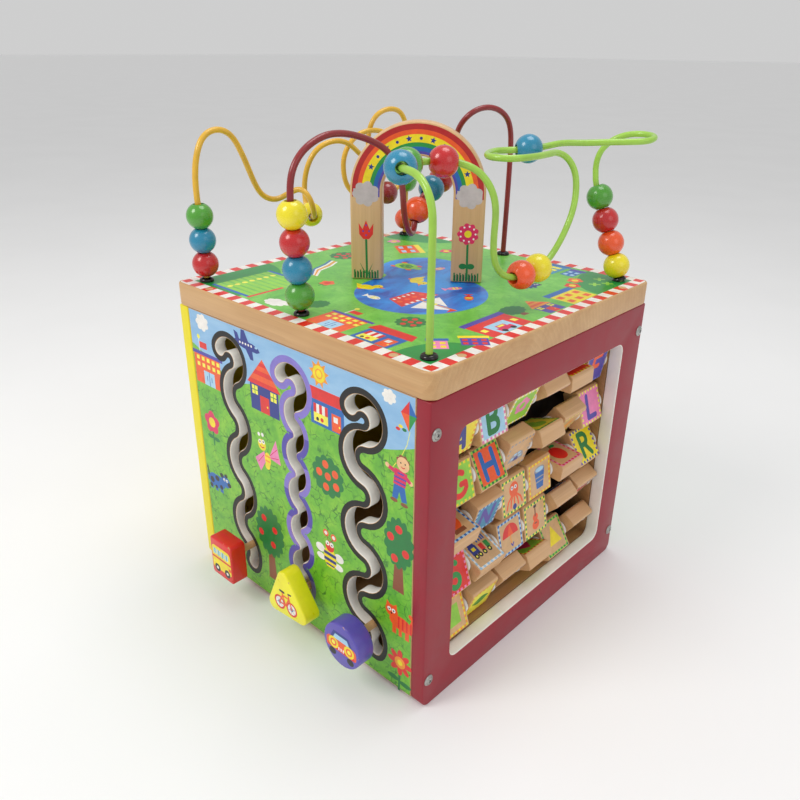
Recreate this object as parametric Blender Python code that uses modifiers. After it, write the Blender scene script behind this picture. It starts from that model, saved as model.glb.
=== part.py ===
"""Wooden baby activity cube: a bead maze on top, a sliding-track panel, and a window of spinning tiles.

Units are metres and +Z is up. The origin is under the middle of the base. -Y is the face with the
winding tracks, +X is the face with the tile window, and the bead maze stands on the top board.
"""

import math

import bmesh
import bpy
import numpy as np
from mathutils import Matrix, Vector

MM = 0.001
GAP = 0.3 * MM

# Carcass
TOP_SIDE = 350 * MM
TOP_THICK = 24 * MM
TOP_Z = 341 * MM
TOP_CORNER_R = 11 * MM
BODY_HALF = 173.5 * MM
BODY_Z = TOP_Z - TOP_THICK - 0.5 * MM
SIDE_THICK = 15 * MM
SIDE_CORNER_R = 9 * MM
FACE_THICK = 12 * MM
BASE_THICK = 9 * MM
BASE_RAISE = 4 * MM

# Tile window and its rack
WINDOW_HALF_Y = 135.5 * MM
WINDOW_Z = (36 * MM, 281 * MM)
WINDOW_CORNER_R = 10 * MM
RACK_RAIL = 14 * MM
RACK_X = (122 * MM, BODY_HALF - SIDE_THICK - GAP)
ROD_X = 147.5 * MM
ROD_R = 3.5 * MM
TILE = (18.5 * MM, 41 * MM, 41.5 * MM)
TILE_EDGE = 2 * MM
TILE_BORE_R = 4.4 * MM
TILE_PITCH_Y = 45 * MM
TILE_PITCH_Z = 50 * MM
SPACER_R = 10 * MM
# How far each tile leans back from upright, in degrees, from the top row down and from -Y to +Y
TILE_TILT_DEG = (
    (-14, 13, -21, -55, 91, -10),
    (14, 27, -18, 110, -33, 16),
    (74, -17, 9, 8, 84, 32),
    (18, 64, 13, 10, -45, -33),
    (19, -20, -34, 115, 31, -35),
)

# Tracks down the -Y face: a chain of equal bends, then a hook that turns over at the top
SLOT_WIDTH = 14 * MM
HOOK_R = 16.5 * MM
TRACKS = {
    # middle line x, sideways swing, rise from bend to bend, height of the lowest bend, bends, hook turn
    "bus": (-89 * MM, 10.8 * MM, 38.8 * MM, 46 * MM, 6, 65),
    "bicycle": (5 * MM, 6.3 * MM, 21.6 * MM, 54 * MM, 10, 72),
    "car": (97.3 * MM, 17 * MM, 39 * MM, 44 * MM, 6, 86),
}
LOWEST_START_DEG = -32
STEM_R = 4 * MM
KNOB_AT = {
    # stem x and z, and the y of the printed front face
    "bus": (-83.5 * MM, 57 * MM, -212 * MM),
    "bicycle": (12 * MM, 52 * MM, -202 * MM),
    "car": (106 * MM, 59 * MM, -212 * MM),
}
KNOB_THICK = 19 * MM
RETAINER_R = 11 * MM
RETAINER_THICK = 4 * MM

# Rainbow arch, turned to face the corner between the track face and the window face
ARCH_TURN = math.radians(37.8)
ARCH_OUTER_R = 67.3 * MM
ARCH_INNER_R = 35.4 * MM
ARCH_SPRING_Z = 88.5 * MM
ARCH_THICK = 20 * MM
ARCH_FRONT = Vector((2.2 * MM, -1.6 * MM, 0))

# Bead maze
WIRE_R = 3 * MM
SOCKET_R = 3.9 * MM
SOCKET_DEPTH = 10 * MM
WIRE_TURN_STEP = math.radians(15)
WIRE_LONGEST_STEP = 30 * MM
BEAD_R = 13.3 * MM
BEAD_BORE_R = 5.2 * MM
BEAD_RIM = math.sqrt(BEAD_R**2 - BEAD_BORE_R**2)
BEAD_PITCH = 24.1 * MM

# Each wire's route in millimetres above the top board, chosen by hand
WIRE_ROUTES = {
    "yellow_wire": (
        (-151, -152, 0), (-151, -152, 56), (-151, -152, 112), (-150, -148, 128), (-151, -139, 140),
        (-151, -124, 145), (-151, -110, 140), (-151, -99, 125), (-151, -90, 105), (-151, -83, 89),
        (-151, -73, 76), (-149, -58, 71), (-144, -45, 76), (-134, -37, 80), (-125, -34, 74),
        (-123, -30, 62), (-130, -23, 51), (-147, -13, 48), (-163, -5, 54), (-169, -2, 68), (-168, -1, 86),
        (-164, 3, 103), (-160, 13, 116), (-156, 27, 122), (-154, 42, 122), (-153, 55, 117), (-152, 68, 107),
        (-151, 84, 97), (-149, 103, 89), (-143, 117, 81), (-137, 119, 71), (-134, 110, 63), (-139, 96, 59),
        (-146, 82, 56), (-155, 68, 58), (-162, 58, 70), (-165, 55, 87), (-165, 57, 104), (-162, 64, 118),
        (-159, 76, 127), (-156, 90, 130), (-153, 107, 128), (-152, 122, 119), (-154, 129, 104), (-159, 124, 90),
        (-165, 111, 88), (-168, 101, 101), (-167, 98, 119), (-164, 99, 134), (-161, 107, 146), (-157, 123, 152),
        (-154, 139, 148), (-152, 147, 134), (-151, 149, 116), (-151, 148, 58), (-151, 147, 0),
    ),
    "red_wire": (
        (0, -153, 0), (0, -156, 54), (0, -159, 108), (0, -156, 124), (0, -147, 137), (0, -133, 146),
        (0, -116, 151), (0, -97, 151), (0, -77, 147), (1, -60, 141), (4, -46, 132), (9, -38, 117), (12, -34, 99),
        (11, -31, 82), (9, -26, 67), (5, -16, 54), (-1, -4, 51), (-6, 5, 62), (-7, 10, 75), (-8, 18, 82),
        (-10, 33, 88), (-14, 48, 92), (-19, 63, 95), (-27, 77, 97), (-36, 89, 103), (-39, 97, 117), (-32, 96, 131),
        (-23, 94, 146), (-14, 99, 157), (-8, 112, 162), (-3, 129, 160), (0, 144, 150), (0, 152, 135),
        (0, 154, 116), (0, 154, 58), (0, 153, 0),
    ),
    "green_wire": (
        (151, -151, 0), (151, -151, 50), (151, -151, 98), (149, -150, 114), (142, -148, 127), (129, -144, 135),
        (113, -139, 137), (98, -130, 136), (86, -114, 135), (79, -97, 134), (80, -80, 134), (89, -67, 134),
        (101, -57, 132), (111, -50, 127), (119, -45, 118), (124, -41, 105), (125, -39, 90), (124, -38, 74),
        (124, -37, 58), (126, -34, 45), (130, -25, 36), (133, -11, 33.5), (135, 6, 34), (135, 22, 36),
        (134, 37, 41), (134, 51, 52), (134, 63, 66), (134, 72, 84), (131, 78, 102), (126, 80, 116),
        (120, 75, 127), (117, 63, 132), (119, 48, 133), (121, 29, 133), (120, 10, 133), (113, -6, 133),
        (99, -11, 133), (86, -3, 133), (77, 12, 133), (74, 29, 133), (80, 43, 133), (91, 54, 134),
        (100, 68, 136), (106, 85, 138), (118, 103, 138), (137, 118, 139), (155, 129, 140), (166, 141, 141),
        (164, 157, 143), (151, 164, 144), (136, 161, 143), (122, 155, 137), (112, 151, 125), (110, 149, 108),
        (130, 150, 54), (151, 151, 0),
    ),
}
# Beads on each wire: the name, the middle in millimetres above the top board, and how many in a row
BEADS = {
    "yellow_wire": (
        ("left_front_stack", (-151, -152, 41), 3),
        ("yellow_dip_bead", (-147, -13, 48), 1),
        ("dark_red_bead", (-137, 99, 60), 1),
        ("orange_left_bead", (-151, 74, 57), 1),
        ("green_back_bead", (-151, 147, 67), 1),
        ("orange_back_bead", (-151, 147, 19), 1),
    ),
    "red_wire": (
        ("middle_front_stack", (0, -156, 53), 4),
        ("orange_middle_bead", (-6, 7, 71), 1),
        ("blue_red_pair", (-13, 46, 91), 2),
        ("yellow_middle_bead", (-30, 80, 98), 1),
    ),
    "green_wire": (
        ("blue_front_bead", (98, -130, 136), 1),
        ("green_front_bead", (82, -105, 135), 1),
        ("red_front_bead", (89, -67, 134), 1),
        ("orange_yellow_pair", (135, 6, 35), 2),
        ("blue_loop_bead", (91, 54, 134), 1),
        ("right_back_stack", (132, 150, 49), 4),
    ),
}

COLOURS = {
    "natural_wood": ((0.66, 0.47, 0.27), 0.45),
    "red_paint": ((0.42, 0.02, 0.03), 0.4),
    "yellow_paint": ((0.85, 0.75, 0.05), 0.4),
    "purple_paint": ((0.13, 0.11, 0.55), 0.4),
    "orange_paint": ((0.85, 0.17, 0.02), 0.3),
    "blue_paint": ((0.02, 0.3, 0.5), 0.3),
    "green_paint": ((0.15, 0.45, 0.04), 0.3),
    "printed_green": ((0.2, 0.5, 0.08), 0.5),
    "wire_yellow": ((0.8, 0.55, 0.08), 0.25),
    "wire_red": ((0.4, 0.02, 0.03), 0.25),
    "wire_green": ((0.42, 0.62, 0.12), 0.25),
}


def clear_scene():
    for obj in list(bpy.data.objects):
        bpy.data.objects.remove(obj, do_unlink=True)


def new_collection(name, helper=False):
    collection = bpy.data.collections.new(name)
    bpy.context.scene.collection.children.link(collection)
    collection.hide_render = helper
    return collection


def make_material(name):
    colour, roughness = COLOURS[name]
    material = bpy.data.materials.new(name)
    material.use_nodes = True
    shader = material.node_tree.nodes["Principled BSDF"]
    shader.inputs["Base Color"].default_value = (*colour, 1)
    shader.inputs["Roughness"].default_value = roughness
    return material


def add_object(name, mesh, collection, material=None):
    obj = bpy.data.objects.new(name, mesh)
    collection.objects.link(obj)
    if material:
        mesh.materials.clear()
        mesh.materials.append(material)
    return obj


def bmesh_object(name, bm, collection, material=None):
    bmesh.ops.recalc_face_normals(bm, faces=bm.faces)
    if bm.calc_volume(signed=True) < 0:
        bmesh.ops.reverse_faces(bm, faces=bm.faces)
    mesh = bpy.data.meshes.new(name)
    bm.to_mesh(mesh)
    bm.free()
    mesh.shade_smooth()
    mesh.set_sharp_from_angle(angle=math.radians(40))
    return add_object(name, mesh, collection, material)


def hang_on(obj, pivot):
    """Parents a piece to an empty on the axis that it turns about, leaving the piece where it is."""
    empty = bpy.data.objects.new(f"{obj.name}_axis", None)
    empty.location = pivot
    empty.empty_display_size = 10 * MM
    obj.users_collection[0].objects.link(empty)
    obj.parent = empty
    obj.matrix_parent_inverse = Matrix.Translation(pivot).inverted()


def arc(centre, radius, start, end, steps):
    """Points on an arc in a plane, from angle start to angle end in degrees."""
    return [
        (
            centre[0] + radius * math.cos(math.radians(start + (end - start) * i / steps)),
            centre[1] + radius * math.sin(math.radians(start + (end - start) * i / steps)),
        )
        for i in range(steps + 1)
    ]


def rounded_rectangle(low, high, radii, steps=3):
    """Outline with its own radius at each corner, from the low-low corner round to the low-high one."""
    (x0, y0), (x1, y1) = low, high
    centres = (
        ((x0 + radii[0], y0 + radii[0]), 180),
        ((x1 - radii[1], y0 + radii[1]), 270),
        ((x1 - radii[2], y1 - radii[2]), 0),
        ((x0 + radii[3], y1 - radii[3]), 90),
    )
    outline = []
    for radius, (centre, start) in zip(radii, centres):
        if radius > 0:
            outline += arc(centre, radius, start, start + 90, steps)
        else:
            outline.append(centre)
    return outline


def prism(name, outline, low, high, matrix, collection, material=None):
    """A flat outline made solid from low to high along its own Z, then placed by the matrix."""
    bm = bmesh.new()
    face = bm.faces.new([bm.verts.new((x, y, low)) for x, y in outline])
    made = bmesh.ops.extrude_face_region(bm, geom=[face])
    top = [item for item in made["geom"] if isinstance(item, bmesh.types.BMVert)]
    bmesh.ops.translate(bm, verts=top, vec=(0, 0, high - low))
    bm.transform(matrix)
    return bmesh_object(name, bm, collection, material)


def box(name, low, high, collection, material=None):
    bm = bmesh.new()
    bmesh.ops.create_cube(bm, size=1)
    size = [b - a for a, b in zip(low, high)]
    middle = [(a + b) / 2 for a, b in zip(low, high)]
    bm.transform(Matrix.Translation(middle) @ Matrix.Diagonal((*size, 1)))
    return bmesh_object(name, bm, collection, material)


def cylinder(name, radius, length, matrix, collection, material=None, sides=12):
    """A cylinder about the matrix's Z axis, centred on its origin."""
    bm = bmesh.new()
    bmesh.ops.create_cone(bm, cap_ends=True, segments=sides, radius1=radius, radius2=radius, depth=length)
    bm.transform(matrix)
    return bmesh_object(name, bm, collection, material)


def boolean(obj, other, operation):
    modifier = obj.modifiers.new(f"{operation.lower()}_{other.name}", "BOOLEAN")
    modifier.operation = operation
    modifier.object = other
    modifier.solver = "EXACT"
    other.display_type = "WIRE"
    other.hide_render = True


def rotation_to(direction):
    """The rotation that turns +Z to a direction."""
    return Vector((0, 0, 1)).rotation_difference(Vector(direction)).to_matrix().to_4x4()


UPRIGHT_X = Matrix(((0, 0, 1, 0), (1, 0, 0, 0), (0, 1, 0, 0), (0, 0, 0, 1)))  # outline (y, z), depth x
UPRIGHT_Y = Matrix(((1, 0, 0, 0), (0, 0, 1, 0), (0, 1, 0, 0), (0, 0, 0, 1)))  # outline (x, z), depth y
ALONG_Y = Matrix.Rotation(math.radians(-90), 4, "X")


# ---------------------------------------------------------------- carcass


def make_carcass(parts, cutters, paint):
    half = TOP_SIDE / 2
    top_outline = rounded_rectangle((-half, -half), (half, half), [TOP_CORNER_R] * 4, 4)
    identity = Matrix.Identity(4)
    top = prism("top_board", top_outline, TOP_Z - TOP_THICK, TOP_Z, identity, parts, paint["natural_wood"])
    for name, route in WIRE_ROUTES.items():
        for end, inner in ((route[0], route[1]), (route[-1], route[-2])):
            foot = Vector(end) * MM + Vector((0, 0, TOP_Z))
            lean = (Vector(inner) - Vector(end)).normalized()
            place = Matrix.Translation(foot) @ rotation_to(lean)
            socket = cylinder(f"{name}_socket", SOCKET_R, 2 * SOCKET_DEPTH + 2 * MM, place, cutters)
            boolean(top, socket, "DIFFERENCE")

    side_outline = rounded_rectangle(
        (-BODY_HALF, 0), (BODY_HALF, BODY_Z), (SIDE_CORNER_R, SIDE_CORNER_R, 0, 0)
    )
    inner = BODY_HALF - SIDE_THICK
    window = prism(
        "window_panel", side_outline, inner, BODY_HALF, UPRIGHT_X, parts, paint["red_paint"]
    )
    prism("yellow_panel", side_outline, -BODY_HALF, -inner, UPRIGHT_X, parts, paint["yellow_paint"])
    window_outline = rounded_rectangle(
        (-WINDOW_HALF_Y, WINDOW_Z[0]), (WINDOW_HALF_Y, WINDOW_Z[1]), [WINDOW_CORNER_R] * 4
    )
    opening = prism("window_cutter", window_outline, inner - 5 * MM, BODY_HALF + 5 * MM, UPRIGHT_X, cutters)
    boolean(window, opening, "DIFFERENCE")

    face_half = inner - GAP
    face_z = (BASE_RAISE, BODY_Z)
    track = box(
        "track_panel",
        (-face_half, -BODY_HALF + 0.5 * MM, face_z[0]),
        (face_half, -BODY_HALF + 0.5 * MM + FACE_THICK, face_z[1]),
        parts,
        paint["printed_green"],
    )
    box(
        "back_panel",
        (-face_half, BODY_HALF - 0.5 * MM - FACE_THICK, face_z[0]),
        (face_half, BODY_HALF - 0.5 * MM, face_z[1]),
        parts,
        paint["blue_paint"],
    )
    depth_half = BODY_HALF - 0.5 * MM - FACE_THICK - GAP
    box(
        "bottom_board",
        (-face_half, -depth_half, 0),
        (face_half, depth_half, BASE_THICK),
        parts,
        paint["natural_wood"],
    )
    return track


# ---------------------------------------------------------------- tile window


def make_tile_rack(parts, cutters, paint):
    """A wooden inner frame with five rods glued across it, each carrying its plastic spacers."""
    rail_y = WINDOW_HALF_Y + RACK_RAIL
    rail_z = (WINDOW_Z[0] - RACK_RAIL, WINDOW_Z[1] + RACK_RAIL)
    rack = box(
        "tile_rack",
        (RACK_X[0], -rail_y, rail_z[0]),
        (RACK_X[1], rail_y, rail_z[1]),
        parts,
        paint["natural_wood"],
    )
    hole = box(
        "rack_cutter",
        (RACK_X[0] - 5 * MM, -WINDOW_HALF_Y, WINDOW_Z[0]),
        (RACK_X[1] + 5 * MM, WINDOW_HALF_Y, WINDOW_Z[1]),
        cutters,
    )
    boolean(rack, hole, "DIFFERENCE")
    for row in range(len(TILE_TILT_DEG)):
        rod = turned(f"rod_{row + 1}", rod_profile(), cutters, sides=10)
        rod.matrix_world = Matrix.Translation((ROD_X, 0, row_z(row))) @ ALONG_Y
        boolean(rack, rod, "UNION")


def row_z(row):
    middle = sum(WINDOW_Z) / 2
    return middle + (len(TILE_TILT_DEG) // 2 - row) * TILE_PITCH_Z


def column_y(column):
    return (column - 2.5) * TILE_PITCH_Y


def rod_profile():
    """Half outline of a rod with a spacer between every two tiles and one at each end, down its length."""
    end = WINDOW_HALF_Y + RACK_RAIL / 2
    tile_half = TILE[1] / 2 + GAP
    points = [(0, end), (ROD_R, end)]
    tile_edges = []
    for column in reversed(range(6)):
        tile_edges += [column_y(column) + tile_half, column_y(column) - tile_half]
    spans = [WINDOW_HALF_Y + 1 * MM] + tile_edges + [-WINDOW_HALF_Y - 1 * MM]
    for high, low in zip(spans[::2], spans[1::2]):
        points += [(ROD_R, high), (SPACER_R, high), (SPACER_R, low), (ROD_R, low)]
    points += [(ROD_R, -end), (0, -end)]
    return points


def turned(name, profile, collection, material=None, sides=12, closed=False):
    """A profile of (radius, height) points turned about Z, running down its outer side."""
    mesh = bpy.data.meshes.new(name)
    count = len(profile)
    edges = [(i, i + 1) for i in range(count - 1)]
    if closed:
        edges.append((count - 1, 0))
    mesh.from_pydata([(radius, 0, height) for radius, height in profile], edges, [])
    obj = add_object(name, mesh, collection, material)
    screw = obj.modifiers.new("turn", "SCREW")
    screw.axis = "Z"
    screw.angle = math.tau
    screw.steps = sides
    screw.render_steps = sides
    screw.use_merge_vertices = True
    screw.merge_threshold = 0.00001
    return obj


def tile_outline():
    """End outline of a tile, as (x, z) points with broken corners, so that it turns clear of the rack."""
    half_x, half_z = TILE[0] / 2, TILE[2] / 2
    inner_x, inner_z = half_x - TILE_EDGE, half_z - TILE_EDGE
    quarter = [(half_x, inner_z), (inner_x, half_z)]
    outline = []
    for sign_x, sign_z in ((1, 1), (-1, 1), (-1, -1), (1, -1)):
        corner = [(sign_x * x, sign_z * z) for x, z in quarter]
        outline += corner if sign_x * sign_z > 0 else corner[::-1]
    return outline


def make_tiles(parts, cutters, paint):
    for row, tilts in enumerate(TILE_TILT_DEG):
        for column, tilt in enumerate(tilts):
            name = f"tile_r{row + 1}c{column + 1}"
            tile = prism(name, tile_outline(), -TILE[1] / 2, TILE[1] / 2, UPRIGHT_Y, parts, paint["natural_wood"])
            bore = cylinder(f"{name}_bore", TILE_BORE_R, TILE[1] + 4 * MM, ALONG_Y, cutters)
            place = Matrix.Translation((ROD_X, column_y(column), row_z(row)))
            tile.matrix_world = place @ Matrix.Rotation(math.radians(-tilt), 4, "Y")
            bore.matrix_world = tile.matrix_world.copy()
            boolean(tile, bore, "DIFFERENCE")


# ---------------------------------------------------------------- tracks


def bend_radius(swing, rise):
    """Radius of an arc that crosses the middle line every rise and swings this far from it."""
    return (rise / 2) ** 2 / (2 * swing) + swing / 2


def track_route(name, steps=5):
    """The track's centreline as (x, z) points, from its bottom end to the tip of its hook.

    Neighbouring bends are arcs that touch, so the route is smooth. Even bends bulge to +X.
    """
    middle_x, swing, rise, lowest, count, hook_turn = TRACKS[name]
    radius = bend_radius(swing, rise)
    half_angle = math.degrees(math.asin(rise / 2 / radius))
    points = []
    for index in range(count):
        z = lowest + index * rise
        last = index == count - 1
        if index % 2 == 0:
            start = LOWEST_START_DEG if index == 0 else -half_angle
            centre = (middle_x + swing - radius, z)
            stretch = arc(centre, radius, start, half_angle, steps)
        else:
            centre = (middle_x - swing + radius, z)
            stretch = arc(centre, radius, 180 + half_angle, 180 - (hook_turn if last else half_angle), steps)
        points += stretch[1:] if points else stretch
    leave = math.radians(180 - hook_turn)
    hook_centre = (
        centre[0] + (radius + HOOK_R) * math.cos(leave),
        centre[1] + (radius + HOOK_R) * math.sin(leave),
    )
    return points + arc(hook_centre, HOOK_R, -hook_turn, 148, 11)[1:]


def ribbon(route, width, end_steps=4):
    """The outline of a band of constant width round a route, with round ends."""
    points = np.array(route)
    ahead = np.gradient(points, axis=0)
    ahead /= np.linalg.norm(ahead, axis=1)[:, None]
    across = np.stack([ahead[:, 1], -ahead[:, 0]], axis=1) * width / 2
    right = [tuple(p) for p in points + across]
    left = [tuple(p) for p in (points - across)[::-1]]

    def cap(index, sign):
        start = math.degrees(math.atan2(sign * across[index][1], sign * across[index][0]))
        return arc(points[index], width / 2, start, start + 180, end_steps)[1:-1]

    return right + cap(-1, 1) + left + cap(0, -1)


def cut_tracks(track_panel, cutters):
    for name in TRACKS:
        outline = ribbon(track_route(name), SLOT_WIDTH)
        front = -BODY_HALF - 4 * MM
        slot = prism(f"{name}_slot", outline, front, front + FACE_THICK + 10 * MM, UPRIGHT_Y, cutters)
        boolean(track_panel, slot, "DIFFERENCE")


def knob_outline(name):
    """Front outline of a knob about its stem, as (x, z) points."""
    if name == "bus":
        return rounded_rectangle((-19 * MM, -24 * MM), (19 * MM, 24 * MM), [4 * MM] * 4, 2)
    if name == "car":
        return arc((0, 0), 24 * MM, 0, 360, 24)[:-1]
    corners = [(Vector((math.cos(a), math.sin(a))) * 24 * MM) for a in map(math.radians, (96, 216, 336))]
    outline = []
    for index, corner in enumerate(corners):
        outline += arc(tuple(corner), 9 * MM, 96 + 120 * index - 60, 96 + 120 * index + 60, 4)
    return outline


def make_knobs(parts, cutters, paint):
    colours = {"bus": "red_paint", "bicycle": "yellow_paint", "car": "purple_paint"}
    inside_y = -BODY_HALF + 0.5 * MM + FACE_THICK + 1 * MM
    for name in TRACKS:
        x, z, front = KNOB_AT[name]
        place = Matrix.Translation((x, 0, z)) @ UPRIGHT_Y
        knob = prism(
            f"{name}_knob", knob_outline(name), front, front + KNOB_THICK, place, parts, paint[colours[name]]
        )
        stem_y = (front + KNOB_THICK - 3 * MM, inside_y + 3 * MM)
        stem_place = Matrix.Translation((x, sum(stem_y) / 2, z)) @ ALONG_Y
        stem = cylinder(f"{name}_stem", STEM_R, stem_y[1] - stem_y[0], stem_place, cutters)
        boolean(knob, stem, "UNION")
        disc_place = Matrix.Translation((x, inside_y + RETAINER_THICK / 2, z)) @ ALONG_Y
        disc = cylinder(f"{name}_retainer", RETAINER_R, RETAINER_THICK, disc_place, cutters, sides=16)
        boolean(knob, disc, "UNION")
        middle_x, swing, rise, lowest, _, _ = TRACKS[name]
        hang_on(knob, Vector((middle_x + swing - bend_radius(swing, rise), 0, lowest)))


# ---------------------------------------------------------------- arch


def arch_matrix():
    """The arch's own frame: X across its legs, Y into its thickness, Z up from the top board."""
    place = Matrix.Translation(ARCH_FRONT + Vector((0, 0, TOP_Z + GAP)))
    return place @ Matrix.Rotation(ARCH_TURN, 4, "Z")


def make_arch(parts, paint):
    outline = [(-ARCH_INNER_R, 0), (-ARCH_OUTER_R, 0)]
    outline += arc((0, ARCH_SPRING_Z), ARCH_OUTER_R, 180, 0, 20)
    outline += [(ARCH_OUTER_R, 0), (ARCH_INNER_R, 0)]
    outline += arc((0, ARCH_SPRING_Z), ARCH_INNER_R, 0, 180, 14)
    prism("rainbow_arch", outline, 0, ARCH_THICK, arch_matrix() @ UPRIGHT_Y, parts, paint["natural_wood"])


# ---------------------------------------------------------------- bead maze


def smooth_route(name):
    """A natural cubic spline through a wire's points, as a function of the point number."""
    points = np.array(WIRE_ROUTES[name], float) * MM + np.array([0, 0, TOP_Z])
    steps = np.linalg.norm(np.diff(points, axis=0), axis=1)
    count = len(points)
    system = np.zeros((count, count))
    wanted = np.zeros((count, 3))
    system[0, 0] = system[-1, -1] = 1
    for i in range(1, count - 1):
        before, after = steps[i - 1], steps[i]
        system[i, i - 1 : i + 2] = before, 2 * (before + after), after
        wanted[i] = 6 * ((points[i + 1] - points[i]) / after - (points[i] - points[i - 1]) / before)
    bend = np.linalg.solve(system, wanted)

    def at(number):
        i = min(int(number), count - 2)
        span = steps[i]
        distance = (number - i) * span
        left, right = span - distance, distance
        value = (bend[i] * left**3 + bend[i + 1] * right**3) / (6 * span)
        value = value + (points[i] / span - bend[i] * span / 6) * left
        return Vector(value + (points[i + 1] / span - bend[i + 1] * span / 6) * right)

    return at, count


def wire_points(name):
    """Points along a wire's spline, close in its bends and sparse on its straights, plus its two feet."""
    at, count = smooth_route(name)
    fine = [at(i / 12) for i in range((count - 1) * 12 + 1)]
    chosen = [fine[0]]
    turned_by, run = 0, 0
    for before, here, after in zip(fine, fine[1:], fine[2:]):
        turned_by += (here - before).angle(after - here)
        run += (here - before).length
        if turned_by > WIRE_TURN_STEP or run > WIRE_LONGEST_STEP:
            chosen.append(here)
            turned_by, run = 0, 0
    chosen.append(fine[-1])
    first_foot = chosen[0] - (chosen[1] - chosen[0]).normalized() * SOCKET_DEPTH
    last_foot = chosen[-1] - (chosen[-2] - chosen[-1]).normalized() * SOCKET_DEPTH
    return [first_foot] + chosen + [last_foot]


def make_wire(name, parts, paint):
    points = wire_points(name)
    curve = bpy.data.curves.new(name, "CURVE")
    curve.dimensions = "3D"
    curve.bevel_depth = WIRE_R
    curve.bevel_resolution = 2
    curve.use_fill_caps = True
    spline = curve.splines.new("POLY")
    spline.points.add(len(points) - 1)
    for point, place in zip(spline.points, points):
        point.co = (*place, 1)
    curve.materials.append(paint[name.replace("_wire", "").join(("wire_", ""))])
    wire = bpy.data.objects.new(name, curve)
    parts.objects.link(wire)


def bead_profile(count):
    """Half outline of a row of touching beads, down their outsides; closing it makes the bore."""
    rim = math.degrees(math.acos(BEAD_BORE_R / BEAD_R))
    waist = math.degrees(math.asin(BEAD_PITCH / 2 / BEAD_R))
    outline = []
    for i in range(count):
        middle = ((count - 1) / 2 - i) * BEAD_PITCH
        start = waist if i else rim
        end = waist if i < count - 1 else rim
        stretch = arc((0, middle), BEAD_R, start, -end, 6)
        outline += stretch[1:] if outline else stretch
    return outline


def bead_place(wire, middle, count):
    """Centre and axis of a row of beads threaded on a wire nearest to a point."""
    at, total = smooth_route(wire)
    wanted = Vector(middle) * MM + Vector((0, 0, TOP_Z))
    number = min((i / 20 for i in range((total - 1) * 20 + 1)), key=lambda n: (at(n) - wanted).length)
    reach = (count - 1) / 2 * BEAD_PITCH + BEAD_RIM
    ends = []
    for sign in (-1, 1):
        step = 0.0
        while (at(number + sign * step) - at(number)).length < reach:
            step += 0.002
        ends.append(at(number + sign * step))
    chord_middle = (ends[0] + ends[1]) / 2
    return (at(number) + chord_middle) / 2, (ends[1] - ends[0]).normalized()


def bend_centre(wire, centre):
    """The middle of the circle that a wire follows where a bead sits, through points 10 mm to each side."""
    at, total = smooth_route(wire)
    number = min((i / 50 for i in range((total - 1) * 50 + 1)), key=lambda n: (at(n) - centre).length)
    middle = at(number)
    arms = []
    for sign in (-1, 1):
        step = 0.0
        while (at(number + sign * step) - middle).length < 10 * MM:
            step += 0.002
        arms.append(at(number + sign * step) - middle)
    normal = arms[0].cross(arms[1])
    towards = arms[0].length_squared * arms[1] - arms[1].length_squared * arms[0]
    return middle + towards.cross(normal) / (2 * normal.length_squared)


def make_beads(parts, paint):
    single = {"yellow": "yellow_paint", "dark": "red_paint", "orange": "orange_paint", "green": "green_paint"}
    single.update({"red": "red_paint", "blue": "blue_paint"})
    for wire, beads in BEADS.items():
        for name, middle, count in beads:
            colour = single.get(name.split("_")[0], "red_paint")
            bead = turned(name, bead_profile(count), parts, paint[colour], closed=True)
            centre, axis = bead_place(wire, middle, count)
            bead.matrix_world = Matrix.Translation(centre) @ rotation_to(axis)
            if not name.endswith("stack"):
                hang_on(bead, bend_centre(wire, centre))


def main():
    clear_scene()
    parts = new_collection("activity_cube")
    cutters = new_collection("cutters", helper=True)
    paint = {name: make_material(name) for name in COLOURS}
    track_panel = make_carcass(parts, cutters, paint)
    cut_tracks(track_panel, cutters)
    make_knobs(parts, cutters, paint)
    make_tile_rack(parts, cutters, paint)
    make_tiles(parts, cutters, paint)
    make_arch(parts, paint)
    for name in WIRE_ROUTES:
        make_wire(name, parts, paint)
    make_beads(parts, paint)


main()
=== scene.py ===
"""Looks of the wooden activity cube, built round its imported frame.

Everything is in metres in the frame's axes: +Z up, the winding tracks on -Y, the tile window on +X.
Printed pictures are drawn in millimetres and laid on their boards as thin printed sheets.
"""

import math

import bmesh
import bpy
import numpy as np
from mathutils import Matrix, Vector, geometry


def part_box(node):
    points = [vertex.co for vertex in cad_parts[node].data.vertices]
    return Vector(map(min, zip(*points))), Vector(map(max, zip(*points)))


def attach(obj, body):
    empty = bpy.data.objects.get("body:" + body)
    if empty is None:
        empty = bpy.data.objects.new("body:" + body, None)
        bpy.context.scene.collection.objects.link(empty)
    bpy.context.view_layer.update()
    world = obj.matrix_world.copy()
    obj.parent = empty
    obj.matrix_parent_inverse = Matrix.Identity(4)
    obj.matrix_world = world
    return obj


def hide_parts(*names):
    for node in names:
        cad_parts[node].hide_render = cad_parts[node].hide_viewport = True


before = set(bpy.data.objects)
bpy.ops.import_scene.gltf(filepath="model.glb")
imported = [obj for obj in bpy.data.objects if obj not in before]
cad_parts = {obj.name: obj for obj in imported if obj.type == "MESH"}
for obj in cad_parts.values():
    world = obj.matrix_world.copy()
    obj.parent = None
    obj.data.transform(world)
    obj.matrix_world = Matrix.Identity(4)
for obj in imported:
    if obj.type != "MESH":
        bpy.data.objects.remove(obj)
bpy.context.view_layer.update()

MM = 0.001
ROOT = "cube"

# ---------------------------------------------------------------- sizes taken from the frame

BOARD_LOW, BOARD_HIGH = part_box("top_board")
TOP_Z = BOARD_HIGH.z
BODY_LOW, BODY_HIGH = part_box("window_panel")
TRACK_LOW, TRACK_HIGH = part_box("track_panel")
BACK_LOW, BACK_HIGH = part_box("back_panel")
RACK_LOW, RACK_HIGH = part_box("tile_rack")

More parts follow.
